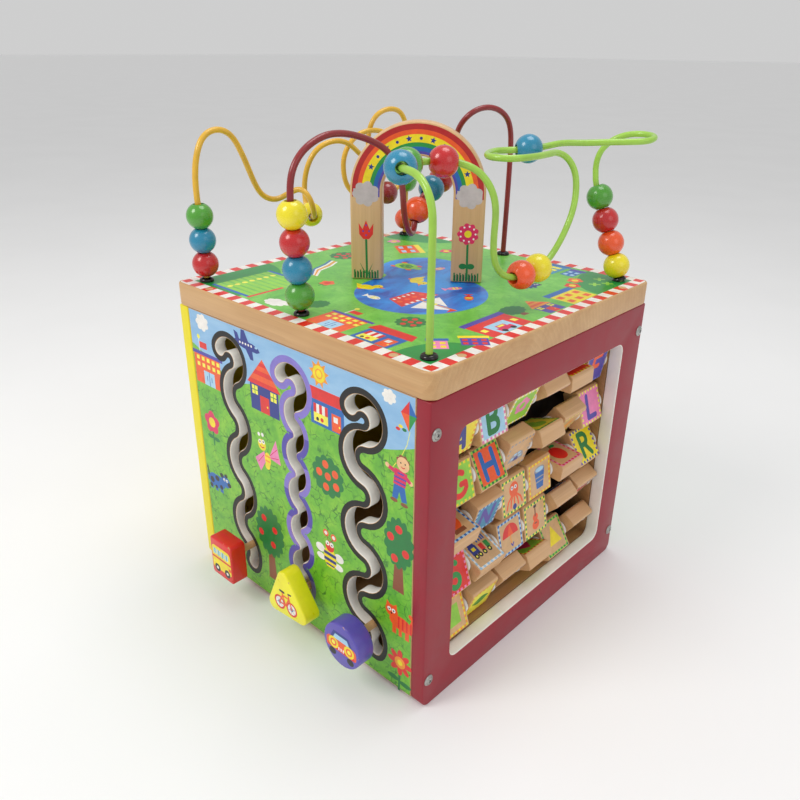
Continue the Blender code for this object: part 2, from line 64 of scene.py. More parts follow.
# Sizes that the frame's boxes don't give, the same as in the solid part
SIDE_CORNER_R = 9 * MM
TOP_CORNER_R = 11 * MM
WINDOW_HALF_Y = 135.5 * MM
WINDOW_Z = (36 * MM, 281 * MM)
WINDOW_CORNER_R = 10 * MM
ROD_X = 147.5 * MM
ROD_R = 3.5 * MM
SPACER_R = 10 * MM
TILE = (18.5 * MM, 41 * MM, 41.5 * MM)
TILE_BORE_R = 4.4 * MM
TILE_PITCH_Y = 45 * MM
TILE_PITCH_Z = 50 * MM
# How far each tile leans back from upright, in degrees, from the top row down and from -Y to +Y
TILE_TILT_DEG = (
    (-14, 13, -21, -55, 91, -10),
    (14, 27, -18, 110, -33, 16),
    (74, -17, 9, 8, 84, 32),
    (18, 64, 13, 10, -45, -33),
    (19, -20, -34, 115, 31, -35),
)

# Tracks in millimetres: middle line x, sideways swing, rise from bend to bend, height of the lowest bend,
# number of bends, hook turn in degrees
TRACKS = {
    "bus": (-89, 10.8, 38.8, 46, 6, 65),
    "bicycle": (5, 6.3, 21.6, 54, 10, 72),
    "car": (97.3, 17, 39, 44, 6, 86),
}
HOOK_R = 16.5
HOOK_END_DEG = 148
LOWEST_START_DEG = -32
SLOT_WIDTH = 14
KNOB_AT = {"bus": (-83.5, 57, -212), "bicycle": (12, 52, -202), "car": (106, 59, -212)}
KNOB_THICK = 19
STEM_R = 4
RETAINER_R = 11
RETAINER_THICK = 4

ARCH_TURN = math.radians(37.8)
ARCH_OUTER_R = 67.3
ARCH_INNER_R = 35.4
ARCH_SPRING_Z = 88.5
ARCH_THICK = 20
ARCH_FRONT = Vector((2.2 * MM, -1.6 * MM, TOP_Z + 0.3 * MM))

WIRE_R = 3 * MM
SOCKET_DEPTH = 10 * MM
BEAD_R = 13.3
BEAD_BORE_R = 5.2
BEAD_PITCH = 24.1

# Each wire's route in millimetres above the top board
WIRE_ROUTES = {
    "yellow_wire": (
        (-151, -152, 0), (-151, -152, 56), (-151, -152, 112), (-150, -148, 128), (-151, -139, 140),
        (-151, -124, 145), (-151, -110, 140), (-151, -99, 125), (-151, -90, 105), (-151, -83, 89),
        (-151, -73, 76), (-149, -58, 71), (-144, -45, 76), (-134, -37, 80), (-125, -34, 74),
        (-123, -30, 62), (-130, -23, 51), (-147, -13, 48), (-163, -5, 54), (-169, -2, 68), (-168, -1, 86),
        (-164, 3, 103), (-160, 13, 116), (-156, 27, 122), (-154, 42, 122), (-153, 55, 117), (-152, 68, 107),
        (-151, 84, 97), (-149, 103, 89), (-143, 117, 81), (-137, 119, 71), (-134, 110, 63), (-139, 96, 59),
        (-146, 82, 56), (-155, 68, 58), (-162, 58, 70), (-165, 55, 87), (-165, 57, 104), (-162, 64, 118),
        (-159, 76, 127), (-156, 90, 130), (-153, 107, 128), (-152, 122, 119), (-154, 129, 104),
        (-159, 124, 90),
        (-165, 111, 88), (-168, 101, 101), (-167, 98, 119), (-164, 99, 134), (-161, 107, 146),
        (-157, 123, 152),
        (-154, 139, 148), (-152, 147, 134), (-151, 149, 116), (-151, 148, 58), (-151, 147, 0),
    ),
    "red_wire": (
        (0, -153, 0), (0, -156, 54), (0, -159, 108), (0, -156, 124), (0, -147, 137), (0, -133, 146),
        (0, -116, 151), (0, -97, 151), (0, -77, 147), (1, -60, 141), (4, -46, 132), (9, -38, 117),
        (12, -34, 99),
        (11, -31, 82), (9, -26, 67), (5, -16, 54), (-1, -4, 51), (-6, 5, 62), (-7, 10, 75), (-8, 18, 82),
        (-10, 33, 88), (-14, 48, 92), (-19, 63, 95), (-27, 77, 97), (-36, 89, 103), (-39, 97, 117),
        (-32, 96, 131),
        (-23, 94, 146), (-14, 99, 157), (-8, 112, 162), (-3, 129, 160), (0, 144, 150), (0, 152, 135),
        (0, 154, 116), (0, 154, 58), (0, 153, 0),
    ),
    "green_wire": (
        (151, -151, 0), (151, -151, 50), (151, -151, 98), (149, -150, 114), (142, -148, 127),
        (129, -144, 135),
        (113, -139, 137), (98, -130, 136), (86, -114, 135), (79, -97, 134), (80, -80, 134), (89, -67, 134),
        (101, -57, 132), (111, -50, 127), (119, -45, 118), (124, -41, 105), (125, -39, 90), (124, -38, 74),
        (124, -37, 58), (126, -34, 45), (130, -25, 36), (133, -11, 33.5), (135, 6, 34), (135, 22, 36),
        (134, 37, 41), (134, 51, 52), (134, 63, 66), (134, 72, 84), (131, 78, 102), (126, 80, 116),
        (120, 75, 127), (117, 63, 132), (119, 48, 133), (121, 29, 133), (120, 10, 133), (113, -6, 133),
        (99, -11, 133), (86, -3, 133), (77, 12, 133), (74, 29, 133), (80, 43, 133), (91, 54, 134),
        (100, 68, 136), (106, 85, 138), (118, 103, 138), (137, 118, 139), (155, 129, 140), (166, 141, 141),
        (164, 157, 143), (151, 164, 144), (136, 161, 143), (122, 155, 137), (112, 151, 125), (110, 149, 108),
        (130, 150, 54), (151, 151, 0),
    ),
}
# Beads on each wire: the name, the middle in millimetres above the top board, and the colours along the wire
BEADS = {
    "yellow_wire": (
        ("left_front_stack", (-151, -152, 41), ("red", "blue", "green")),
        ("yellow_dip_bead", (-147, -13, 48), ("yellow",)),
        ("dark_red_bead", (-137, 99, 60), ("dark_red",)),
        ("orange_left_bead", (-151, 74, 57), ("orange",)),
        ("green_back_bead", (-151, 147, 67), ("green",)),
        ("orange_back_bead", (-151, 147, 19), ("orange",)),
    ),
    "red_wire": (
        ("middle_front_stack", (0, -156, 53), ("green", "blue", "red", "yellow")),
        ("orange_middle_bead", (-6, 7, 71), ("orange",)),
        ("blue_red_pair", (-13, 46, 91), ("blue", "red")),
        ("yellow_middle_bead", (-30, 80, 98), ("yellow",)),
    ),
    "green_wire": (
        ("blue_front_bead", (98, -130, 136), ("blue",)),
        ("green_front_bead", (82, -105, 135), ("green",)),
        ("red_front_bead", (89, -67, 134), ("red",)),
        ("orange_yellow_pair", (135, 6, 35), ("orange", "yellow")),
        ("blue_loop_bead", (91, 54, 134), ("blue",)),
        ("right_back_stack", (132, 150, 49), ("green", "red", "orange", "yellow")),
    ),
}


# ---------------------------------------------------------------- materials


def rgb(code):
    """A linear colour from its six-digit hexadecimal code."""
    parts = [int(code[i : i + 2], 16) / 255 for i in (0, 2, 4)]
    return tuple(p / 12.92 if p <= 0.04045 else ((p + 0.055) / 1.055) ** 2.4 for p in parts)


def shade(colour, amount):
    """A colour made darker below 1 or lighter above it."""
    return tuple(min(1.0, max(0.0, c * amount)) for c in colour)


class Surface:
    """A Principled material and short calls for the nodes that feed it."""

    def __init__(self, name, **settings):
        self.material = bpy.data.materials.new(name)
        self.material.use_nodes = True
        self.tree = self.material.node_tree
        self.shader = self.tree.nodes["Principled BSDF"]
        for socket, value in settings.items():
            self.shader.inputs[socket.replace("_", " ").title()].default_value = value
        self.coords = self.tree.nodes.new("ShaderNodeTexCoord").outputs["Object"]

    def link(self, value, socket):
        if isinstance(value, bpy.types.NodeSocket):
            self.tree.links.new(value, socket)
        elif value is not None:
            socket.default_value = value

    def stretched(self, scale=(1, 1, 1), move=(0, 0, 0)):
        node = self.tree.nodes.new("ShaderNodeMapping")
        self.link(self.coords, node.inputs["Vector"])
        node.inputs["Location"].default_value = move
        node.inputs["Scale"].default_value = scale
        return node.outputs["Vector"]

    def noise(self, scale, detail=3, rough=0.5, distortion=0, vector=None):
        node = self.tree.nodes.new("ShaderNodeTexNoise")
        self.link(self.coords if vector is None else vector, node.inputs["Vector"])
        node.inputs["Scale"].default_value = scale
        node.inputs["Detail"].default_value = detail
        node.inputs["Roughness"].default_value = rough
        node.inputs["Distortion"].default_value = distortion
        return node.outputs[0]

    def rings(self, scale, distortion, vector, direction="X"):
        node = self.tree.nodes.new("ShaderNodeTexWave")
        node.wave_type = "RINGS"
        node.rings_direction = direction
        node.wave_profile = "SAW"
        self.link(vector, node.inputs["Vector"])
        node.inputs["Scale"].default_value = scale
        node.inputs["Distortion"].default_value = distortion
        node.inputs["Detail"].default_value = 3
        node.inputs["Detail Scale"].default_value = 1.5
        return node.outputs[1]

    def cells(self, scale, vector=None, feature="F1", output=0):
        node = self.tree.nodes.new("ShaderNodeTexVoronoi")
        node.feature = feature
        self.link(self.coords if vector is None else vector, node.inputs["Vector"])
        node.inputs["Scale"].default_value = scale
        return node.outputs[output]

    def warped(self, scale, amount):
        """The object's coordinates pushed about by noise, for lines that wander."""
        node = self.tree.nodes.new("ShaderNodeTexNoise")
        self.link(self.coords, node.inputs["Vector"])
        node.inputs["Scale"].default_value = scale
        vector = self.tree.nodes.new("ShaderNodeVectorMath")
        vector.operation = "MULTIPLY_ADD"
        self.link(node.outputs["Color"], vector.inputs[0])
        vector.inputs[1].default_value = (amount,) * 3
        self.link(self.coords, vector.inputs[2])
        return vector.outputs[0]

    def spread(self, value, low, high, to_low=0.0, to_high=1.0):
        node = self.tree.nodes.new("ShaderNodeMapRange")
        self.link(value, node.inputs["Value"])
        for socket, number in (
            ("From Min", low), ("From Max", high), ("To Min", to_low), ("To Max", to_high),
        ):
            node.inputs[socket].default_value = number
        return node.outputs[0]

    def ramp(self, value, *stops):
        node = self.tree.nodes.new("ShaderNodeValToRGB")
        self.link(value, node.inputs["Fac"])
        elements = node.color_ramp.elements
        while len(elements) < len(stops):
            elements.new(0.5)
        for element, (place, colour) in zip(elements, stops):
            element.position = place
            element.color = (*colour, 1)
        return node.outputs["Color"]

    def mix(self, amount, first, second, how="MIX"):
        node = self.tree.nodes.new("ShaderNodeMixRGB")
        node.blend_type = how
        for socket, value in (("Fac", amount), ("Color1", first), ("Color2", second)):
            self.link((*value, 1) if isinstance(value, tuple) else value, node.inputs[socket])
        return node.outputs["Color"]

    def worn(self, colour, under, amount=0.55):
        """Paint rubbed through to what is under it, on the edges that the mesh marks as worn."""
        mark = self.tree.nodes.new("ShaderNodeAttribute")
        mark.attribute_name = "wear"
        patches = self.spread(self.noise(140, 5, 0.7), amount, amount + 0.06)
        both = self.tree.nodes.new("ShaderNodeMath")
        both.operation = "MULTIPLY"
        self.link(mark.outputs["Fac"], both.inputs[0])
        self.link(patches, both.inputs[1])
        return self.mix(both.outputs[0], colour, under)

    def finish(self, colour, bump=None, strength=0.2, depth=0.0003, roughness=None):
        self.link(colour, self.shader.inputs["Base Color"])
        if roughness is not None:
            self.link(roughness, self.shader.inputs["Roughness"])
        if bump is not None:
            node = self.tree.nodes.new("ShaderNodeBump")
            node.inputs["Strength"].default_value = strength
            node.inputs["Distance"].default_value = depth
            self.link(bump, node.inputs["Height"])
            self.link(node.outputs["Normal"], self.shader.inputs["Normal"])
        return self.material


AXIS_STRETCH = {"X": (0.05, 1, 1), "Y": (1, 0.05, 1), "Z": (1, 1, 0.05)}


def wood(name, light, dark, grain="Y", ring_move=(0, 0, 0.1), ring_scale=45, contrast=0.5):
    """Satin-lacquered wood: growth rings about the grain's axis, streaks, fine fibres and a slight bump."""
    s = Surface(name, coat_weight=0.15, coat_roughness=0.25)
    along = AXIS_STRETCH[grain]
    rings = s.rings(ring_scale, 2.2, s.stretched(tuple(a * 0.9 + 0.02 for a in along), ring_move), grain)
    streaks = s.noise(60, 6, 0.62, 0.4, s.stretched(along))
    fibres = s.noise(900, 3, 0.6, 0, s.stretched(tuple(a if a == 1 else 0.02 for a in along)))
    patches = s.noise(11, 2, 0.5)
    tone = s.mix(s.spread(streaks, 0.3, 0.7), dark, light)
    tone = s.mix(s.spread(rings, 0.0, 1.0, 0.0, contrast), tone, shade(dark, 0.86))
    tone = s.mix(s.spread(fibres, 0.35, 0.75, 0.0, 0.3), tone, shade(dark, 0.72))
    tone = s.mix(s.spread(patches, 0.3, 0.75, 0.0, 0.3), tone, shade(light, 1.12))
    return s.finish(tone, fibres, 0.25, 0.0002, s.spread(streaks, 0.2, 0.8, 0.34, 0.52))


def paint(name, code, roughness=0.38, under="C79A66", wear=0.66, coat=0.0, grain=(1, 1, 0.08), mottle=0.1):
    """Paint on wood: slight brush mottle, the grain just telling through, and edges rubbed bare."""
    s = Surface(name, coat_weight=coat, coat_roughness=0.12)
    colour = rgb(code)
    cloud = s.noise(35, 5, 0.6)
    speck = s.noise(700, 2, 0.5)
    through = s.noise(240, 4, 0.6, 0, s.stretched(grain))
    tone = s.mix(s.spread(cloud, 0.3, 0.7), shade(colour, 1 - mottle), shade(colour, 1 + mottle))
    tone = s.mix(s.spread(speck, 0.62, 0.75, 0, 0.12), tone, shade(colour, 1.35))
    tone = s.worn(tone, rgb(under), wear)
    height = s.mix(0.5, through, speck)
    return s.finish(tone, height, 0.12, 0.0002, s.spread(cloud, 0.2, 0.8, roughness * 0.82, roughness * 1.22))


def gloss(name, code, mottle=0.07):
    """Thick glossy lacquer with orange peel, faint handling scuffs and a clear coat."""
    s = Surface(name, coat_weight=0.6, coat_roughness=0.06)
    colour = rgb(code)
    cloud = s.noise(60, 4, 0.55)
    peel = s.noise(420, 2, 0.5)
    scuffs = s.noise(500, 4, 0.75, 1.5, s.stretched((1, 0.25, 1)))
    tone = s.mix(s.spread(cloud, 0.3, 0.7), shade(colour, 1 - mottle), shade(colour, 1 + mottle))
    tone = s.mix(s.spread(scuffs, 0.72, 0.85, 0, 0.25), tone, shade(colour, 1.5))
    return s.finish(tone, peel, 0.06, 0.0002, s.spread(scuffs, 0.35, 0.8, 0.2, 0.42))


def coated_wire(name, code):
    """Smooth plastic sleeve over steel, with a fine noise bump and light scratches."""
    s = Surface(name, coat_weight=0.45, coat_roughness=0.1)
    colour = rgb(code)
    cloud = s.noise(40, 4, 0.6)
    scratch = s.noise(600, 5, 0.8, 2.0)
    tone = s.mix(s.spread(cloud, 0.3, 0.7), shade(colour, 0.88), shade(colour, 1.12))
    tone = s.mix(s.spread(scratch, 0.7, 0.78, 0, 0.35), tone, shade(colour, 1.7))
    return s.finish(tone, s.noise(260, 3, 0.5), 0.08, 0.0003, s.spread(scratch, 0.3, 0.8, 0.24, 0.5))


def plastic(name, code, roughness=0.35):
    s = Surface(name, subsurface_weight=0.0)
    colour = rgb(code)
    cloud = s.noise(90, 4, 0.6)
    tone = s.mix(s.spread(cloud, 0.3, 0.7), shade(colour, 0.9), shade(colour, 1.06))
    return s.finish(
        tone, s.noise(800, 2, 0.5), 0.1, 0.0001,
        s.spread(cloud, 0.2, 0.8, roughness * 0.8, roughness * 1.2),
    )


def metal(name, code="B9B9B4"):
    s = Surface(name, metallic=1.0)
    brushed = s.noise(900, 4, 0.6, 0, s.stretched((1, 0.1, 1)))
    tone = s.mix(s.spread(brushed, 0.3, 0.7), shade(rgb(code), 0.75), rgb(code))
    return s.finish(tone, brushed, 0.15, 0.0001, s.spread(brushed, 0.2, 0.8, 0.22, 0.42))


INKS = {
    "red": "E2231C", "deep_red": "B81A1E", "orange": "F25A1D", "amber": "F59A1B", "yellow": "F5DE16",
    "lemon": "FBF04E", "green": "0C7A35", "leaf": "1C9440", "lime": "93D23C", "blue": "1265B5",
    "navy": "1C2F8A",
    "teal": "2A93B8", "light_blue": "A9D4EE", "purple": "4D41A8", "lilac": "8474CB", "pink": "EE84B6",
    "crimson": "DC1F5B", "white": "F3EFE8", "black": "17161A", "brown": "8C4A28", "skin": "F0C08C",
    "grey": "9A98A0", "cloud_grey": "C5BBBB", "bare_wood": "D9AE7C",
}


def ink(name):
    """A printed colour: fine paper tooth and the slight unevenness of hand-painted artwork."""
    s = Surface(f"ink_{name}", coat_weight=0.2, coat_roughness=0.3)
    colour = rgb(INKS[name])
    cloud = s.noise(110, 5, 0.65)
    tooth = s.noise(1300, 2, 0.5)
    tone = s.mix(s.spread(cloud, 0.3, 0.7), shade(colour, 0.87), shade(colour, 1.1))
    tone = s.mix(s.spread(tooth, 0.55, 0.75, 0, 0.12), tone, shade(colour, 0.75))
    return s.finish(tone, tooth, 0.08, 0.0001, s.spread(cloud, 0.2, 0.8, 0.3, 0.46))


def grass_ink(name, light, middle, dark, crack, crack_share):
    """Painted grass: blotches of two greens under a net of broken dark brush strokes."""
    s = Surface(name, coat_weight=0.2, coat_roughness=0.3)
    blotch = s.noise(34, 6, 0.7, 0.6)
    tone = s.ramp(blotch, (0.3, dark), (0.48, middle), (0.66, light))
    lines = s.cells(105, s.warped(60, 0.02), "DISTANCE_TO_EDGE")
    thin = s.spread(lines, 0.02, 0.07, 1, 0)
    where = s.spread(s.noise(70, 4, 0.6), 0.46, 0.58, 0, crack_share)
    both = s.tree.nodes.new("ShaderNodeMath")
    both.operation = "MULTIPLY"
    s.link(thin, both.inputs[0])
    s.link(where, both.inputs[1])
    tone = s.mix(both.outputs[0], tone, crack)
    fine = s.noise(260, 5, 0.7)
    tone = s.mix(s.spread(fine, 0.52, 0.7, 0, 0.4), tone, shade(dark, 0.8))
    return s.finish(tone, s.noise(1300, 2, 0.5), 0.08, 0.0001, s.spread(blotch, 0.2, 0.8, 0.3, 0.45))


def sky_ink():
    s = Surface("ink_sky", coat_weight=0.2, coat_roughness=0.3)
    brush = s.noise(70, 5, 0.6, 0.3, s.stretched((0.35, 1, 1)))
    tone = s.ramp(brush, (0.3, rgb("82B4DE")), (0.7, rgb("9CC6E8")))
    return s.finish(tone, s.noise(1300, 2, 0.5), 0.08, 0.0001, s.spread(brush, 0.2, 0.8, 0.3, 0.45))


def water_ink():
    s = Surface("ink_water", coat_weight=0.25, coat_roughness=0.25)
    brush = s.noise(26, 4, 0.6, 1.2, s.stretched((1, 0.5, 1)))
    tone = s.ramp(brush, (0.36, rgb("1D4FB4")), (0.46, rgb("1579D8")), (0.6, rgb("1B96EC")))
    ripples = s.noise(240, 4, 0.6)
    tone = s.mix(s.spread(ripples, 0.5, 0.75, 0, 0.25), tone, rgb("1246A0"))
    return s.finish(tone, s.noise(1300, 2, 0.5), 0.08, 0.0001, s.spread(brush, 0.2, 0.8, 0.28, 0.42))


def glitter_ink():
    """Black print with a sprinkle of tiny flakes, those picked by a noise painted lighter grey as glints."""
    s = Surface("ink_glitter", coat_weight=0.15, coat_roughness=0.3)
    flakes = s.spread(s.cells(700), 0.1, 0.2, 1, 0)
    # Flakes where this noise is high are painted lighter: painted glints.
    glint_mask = s.spread(s.noise(340, 2, 0.5), 0.58, 0.66)
    both = s.tree.nodes.new("ShaderNodeMath")
    both.operation = "MULTIPLY"
    s.link(flakes, both.inputs[0])
    s.link(glint_mask, both.inputs[1])
    tone = s.mix(both.outputs[0], rgb("0B0A0A"), rgb("5A5957"))
    return s.finish(tone, flakes, 0.35, 0.0002, s.spread(both.outputs[0], 0, 1, 0.55, 0.18))


def make_materials():
    made = {name: ink(name) for name in INKS}
    made["sky"] = sky_ink()
    made["water"] = water_ink()
    made["glitter"] = glitter_ink()
    made["hill"] = grass_ink("ink_hill", rgb("8CCB33"), rgb("6DBB2A"), rgb("4E9F28"), rgb("2C7420"), 0.9)
    made["field"] = grass_ink("ink_field", rgb("86D05A"), rgb("6CC243"), rgb("55B03A"), rgb("3F9A34"), 0.35)
    made["board_wood"] = wood("board_wood", rgb("D9B27F"), rgb("C4935D"), "X", (0, 0.06, -0.27), 60, 0.35)
    made["arch_wood"] = wood("arch_wood", rgb("E3BD8C"), rgb("D3A671"), "Z", (0.03, 0.02, 0), 40, 0.25)
    made["tile_wood"] = wood("tile_wood", rgb("E2B98A"), rgb("CF9E6C"), "Y", (0.3, 0, 0.21), 55, 0.3)
    made["rack_wood"] = wood("rack_wood", rgb("B28656"), rgb("8F6438"), "Y", (0.1, 0, 0.3), 50, 0.5)
    made["panel_wood"] = wood("panel_wood", rgb("D2A878"), rgb("BC8F5E"), "X", (0, 0.3, 0.1), 40, 0.3)
    made["stem_wood"] = wood("stem_wood", rgb("D9B07E"), rgb("BE925F"), "Y", (0.2, 0, 0.1), 60, 0.3)
    made["red_paint"] = paint("red_paint", "951629", 0.42, mottle=0.07)
    made["yellow_paint"] = paint("yellow_paint", "EFDF25", 0.4, mottle=0.04)
    made["white_paint"] = paint("white_paint", "F6F3EC", 0.45, wear=0.62, mottle=0.05)
    # Black for the sheet behind the tiles: painted shade of the cube's dark inside.
    made["shade_sheet_black"] = plastic("shade_sheet_black", "15120F", 0.6)
    made["knob_red"] = paint("knob_red", "DB1A17", 0.3, wear=0.6, coat=0.3)
    made["knob_yellow"] = paint("knob_yellow", "F8EE1C", 0.3, wear=0.62, coat=0.3)
    made["knob_purple"] = paint("knob_purple", "5A4DB0", 0.34, wear=0.6, coat=0.25)
    for name, code in (
        ("red", "C4171C"), ("dark_red", "8B141A"), ("blue", "1C84A8"), ("green", "4C9C2B"),
        ("yellow", "EFDE16"), ("orange", "F0571F"),
    ):
        made[f"bead_{name}"] = gloss(f"bead_{name}", code)
    made["yellow_wire"] = coated_wire("wire_yellow", "E3B12F")
    made["red_wire"] = coated_wire("wire_red", "8C1B1E")
    made["green_wire"] = coated_wire("wire_green", "9CCB45")
    # Black plastic of the grommets, also used as painted shade in the screws' cross slots.
    made["grommet"] = plastic("grommet_black", "0D0D0E", 0.16)
    made["spacer"] = plastic("spacer_white", "E9E8E4", 0.35)
    made["steel"] = metal("screw_steel")
    made["dark_steel"] = metal("rod_steel", "8E8E8C")
    return made


MATERIAL = make_materials()


# ---------------------------------------------------------------- flat drawing


def arc(x, y, radius, start, end, steps=12):
    """Points on an arc, from angle start to angle end in degrees."""
    angles = [math.radians(start + (end - start) * i / steps) for i in range(steps + 1)]
    return [(x + radius * math.cos(a), y + radius * math.sin(a)) for a in angles]


def disc(x, y, radius, tall=None, sides=24):
    tall = radius if tall is None else tall
    angles = [math.tau * (i + 0.5) / sides for i in range(sides)]
    return [(x + radius * math.cos(a), y + tall * math.sin(a)) for a in angles]


def bar(x0, y0, x1, y1):
    return [(x0, y0), (x1, y0), (x1, y1), (x0, y1)]


def lobed(x, y, wide, tall, lobes, depth=0.1, sides=None, turn=0.0):
    """A round outline with a number of soft lobes, as of a tree's crown, a cloud or a flower."""
    sides = sides or lobes * 7
    outline = []
    for i in range(sides):
        angle = math.tau * i / sides
        reach = 1 - depth + depth * 2 * abs(math.sin(lobes * angle / 2 + turn))
        outline.append(
            (
                x + wide * reach * math.cos(angle) / (1 + depth),
                y + tall * reach * math.sin(angle) / (1 + depth),
            )
        )
    return outline


def star(x, y, outer, inner, points, turn=90):
    outline = []
    for i in range(points * 2):
        angle = math.radians(turn + 180 * i / points)
        reach = inner if i % 2 else outer
        outline.append((x + reach * math.cos(angle), y + reach * math.sin(angle)))
    return outline


def stroke(points, width):
    """A line of a given width with round ends and joints, as overlapping simple outlines."""
    outlines = [disc(x, y, width / 2, sides=14) for x, y in points]
    for (x0, y0), (x1, y1) in zip(points, points[1:]):
        length = math.hypot(x1 - x0, y1 - y0)
        across_x, across_y = -(y1 - y0) / length * width / 2, (x1 - x0) / length * width / 2
        outlines.append(
            [(x0 + across_x, y0 + across_y), (x0 - across_x, y0 - across_y),
             (x1 - across_x, y1 - across_y), (x1 + across_x, y1 + across_y)]
        )
    return outlines


def rounded_rectangle(low, high, radii, steps=6):
    """Outline with its own radius at each corner, from the low-low corner round to the low-high one."""
    (x0, y0), (x1, y1) = low, high
    centres = (
        (x0 + radii[0], y0 + radii[0], 180), (x1 - radii[1], y0 + radii[1], 270),
        (x1 - radii[2], y1 - radii[2], 0), (x0 + radii[3], y1 - radii[3], 90),
    )
    outline = []
    for radius, (x, y, start) in zip(radii, centres):
        outline += arc(x, y, radius, start, start + 90, steps) if radius > 0 else [(x, y)]
    return outline


class Art:
    """Flat shapes in millimetres, each painted over the ones before it."""

    def __init__(self):
        self.shapes = []
        self.matrix = Matrix.Identity(3)

    def at(self, x=0, y=0, turn=0, size=1, flip=False):
        """Puts what is painted next at a place, turned by degrees and scaled."""
        spin = Matrix.Rotation(math.radians(turn), 3, "Z")
        scale = Matrix.Diagonal((-size if flip else size, size, 1))
        move = Matrix(((1, 0, x), (0, 1, y), (0, 0, 1)))
        self.matrix = move @ spin @ scale
        return self

    def paint(self, colour, *outlines):
        for outline in outlines:
            placed = [tuple((self.matrix @ Vector((x, y, 1)))[:2]) for x, y in outline]
            area = sum(a[0] * b[1] - b[0] * a[1] for a, b in zip(placed, placed[1:] + placed[:1]))
            self.shapes.append((colour, placed if area > 0 else placed[::-1]))
        return self

    def cut(self, *outlines):
        return self.paint(None, *outlines)

    def flat_mesh(self, clean=False):
        """(bmesh, colours): the visible part of each shape as flat faces, in metres."""
        points, faces = [], []
        for _, outline in self.shapes:
            faces.append(list(range(len(points), len(points) + len(outline))))
            points += [Vector(p) for p in outline]
        corners, _, triangles, _, _, owners = geometry.delaunay_2d_cdt(points, [], faces, 1, 1e-4)
        colours = sorted({colour for colour, _ in self.shapes if colour})
        bm = bmesh.new()
        made = [bm.verts.new((p.x * MM, p.y * MM, 0)) for p in corners]
        for triangle, owner in zip(triangles, owners):
            colour = self.shapes[max(owner)][0] if owner else None
            if colour:
                face = bm.faces.new([made[i] for i in triangle])
                face.material_index = colours.index(colour)
        loose = [v for v in bm.verts if not v.link_faces]
        bmesh.ops.delete(bm, geom=loose, context="VERTS")
        if clean:
            bmesh.ops.dissolve_limit(
                bm, angle_limit=0.01, verts=bm.verts, edges=bm.edges, delimit={"MATERIAL"},
            )
        bmesh.ops.recalc_face_normals(bm, faces=bm.faces)
        if sum(f.normal.z * f.calc_area() for f in bm.faces) < 0:
            bmesh.ops.reverse_faces(bm, faces=bm.faces)
        return bm, colours


def facing(x_axis, y_axis, place=(0, 0, 0)):
    """The place and turn of a flat drawing, from where its right and its up point."""
    right, up = Vector(x_axis), Vector(y_axis)
    turn = Matrix((right, up, right.cross(up))).transposed().to_4x4()
    return Matrix.Translation(place) @ turn


TO_FRONT = facing((1, 0, 0), (0, 0, 1))
TO_RIGHT = facing((0, 1, 0), (0, 0, 1))
TO_BACK = facing((-1, 0, 0), (0, 0, 1))
TO_LEFT = facing((0, -1, 0), (0, 0, 1))


# ---------------------------------------------------------------- making pieces


def add_piece(name, mesh, materials, body=ROOT, slot=None, replaces=(), smooth_angle=35):
    piece = bpy.data.objects.new(name, mesh)
    bpy.context.scene.collection.objects.link(piece)
    for material in materials:
        mesh.materials.append(MATERIAL[material])
    mesh.shade_smooth()
    mesh.set_sharp_from_angle(angle=math.radians(smooth_angle))
    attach(piece, body)
    if replaces:
        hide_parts(*replaces)
    return piece


def thicken(bm, depth):
    """Flat faces made solid downwards, with their upper side left where it was."""
    lower = bmesh.ops.extrude_face_region(bm, geom=list(bm.faces), use_keep_orig=True)
    moved = [item for item in lower["geom"] if isinstance(item, bmesh.types.BMVert)]
    bmesh.ops.translate(bm, verts=moved, vec=(0, 0, -depth))
    bmesh.ops.recalc_face_normals(bm, faces=bm.faces)
    if bm.calc_volume(signed=True) < 0:
        bmesh.ops.reverse_faces(bm, faces=bm.faces)


def soften(bm, edge, segments=3, angle=35):
    """Rounds every sharp edge and marks the rounding as worn."""
    sharp = [e for e in bm.edges if len(e.link_faces) == 2 and e.calc_face_angle(0) > math.radians(angle)]
    made = bmesh.ops.bevel(
        bm, geom=sharp, offset=edge, segments=segments, profile=0.5, affect="EDGES", clamp_overlap=True
    )
    wear = bm.verts.layers.float.new("wear")
    rounded = set(made["faces"])
    for vert in bm.verts:
        vert[wear] = 1.0 if vert.link_faces and all(face in rounded for face in vert.link_faces) else 0.0


def board_mesh(name, art, depth, edge, place, paint_walls=None):
    """A solid board from a flat drawing of its outline and holes, its front at the drawing's plane."""
    bm, _ = art.flat_mesh(clean=True)
    thicken(bm, depth)
    if edge:
        soften(bm, edge)
    if paint_walls:
        for face in bm.faces:
            centre = face.calc_center_median() / MM
            if abs(face.normal.z) < 0.75 and paint_walls(centre.x, centre.y):
                face.material_index = 1
    bm.transform(place)
    mesh = bpy.data.meshes.new(name)
    bm.to_mesh(mesh)
    bm.free()
    return mesh


def print_sheet(name, art, place, body=ROOT, slot=None, stand=0.05 * MM, depth=0.15 * MM):
    """A drawing as a thin printed sheet, standing just proud of the board under it."""
    bm, colours = art.flat_mesh()
    thicken(bm, depth)
    bm.transform(place @ Matrix.Translation((0, 0, stand)))
    mesh = bpy.data.meshes.new(name)
    bm.to_mesh(mesh)
    bm.free()
    return add_piece(name, mesh, colours, body, slot)


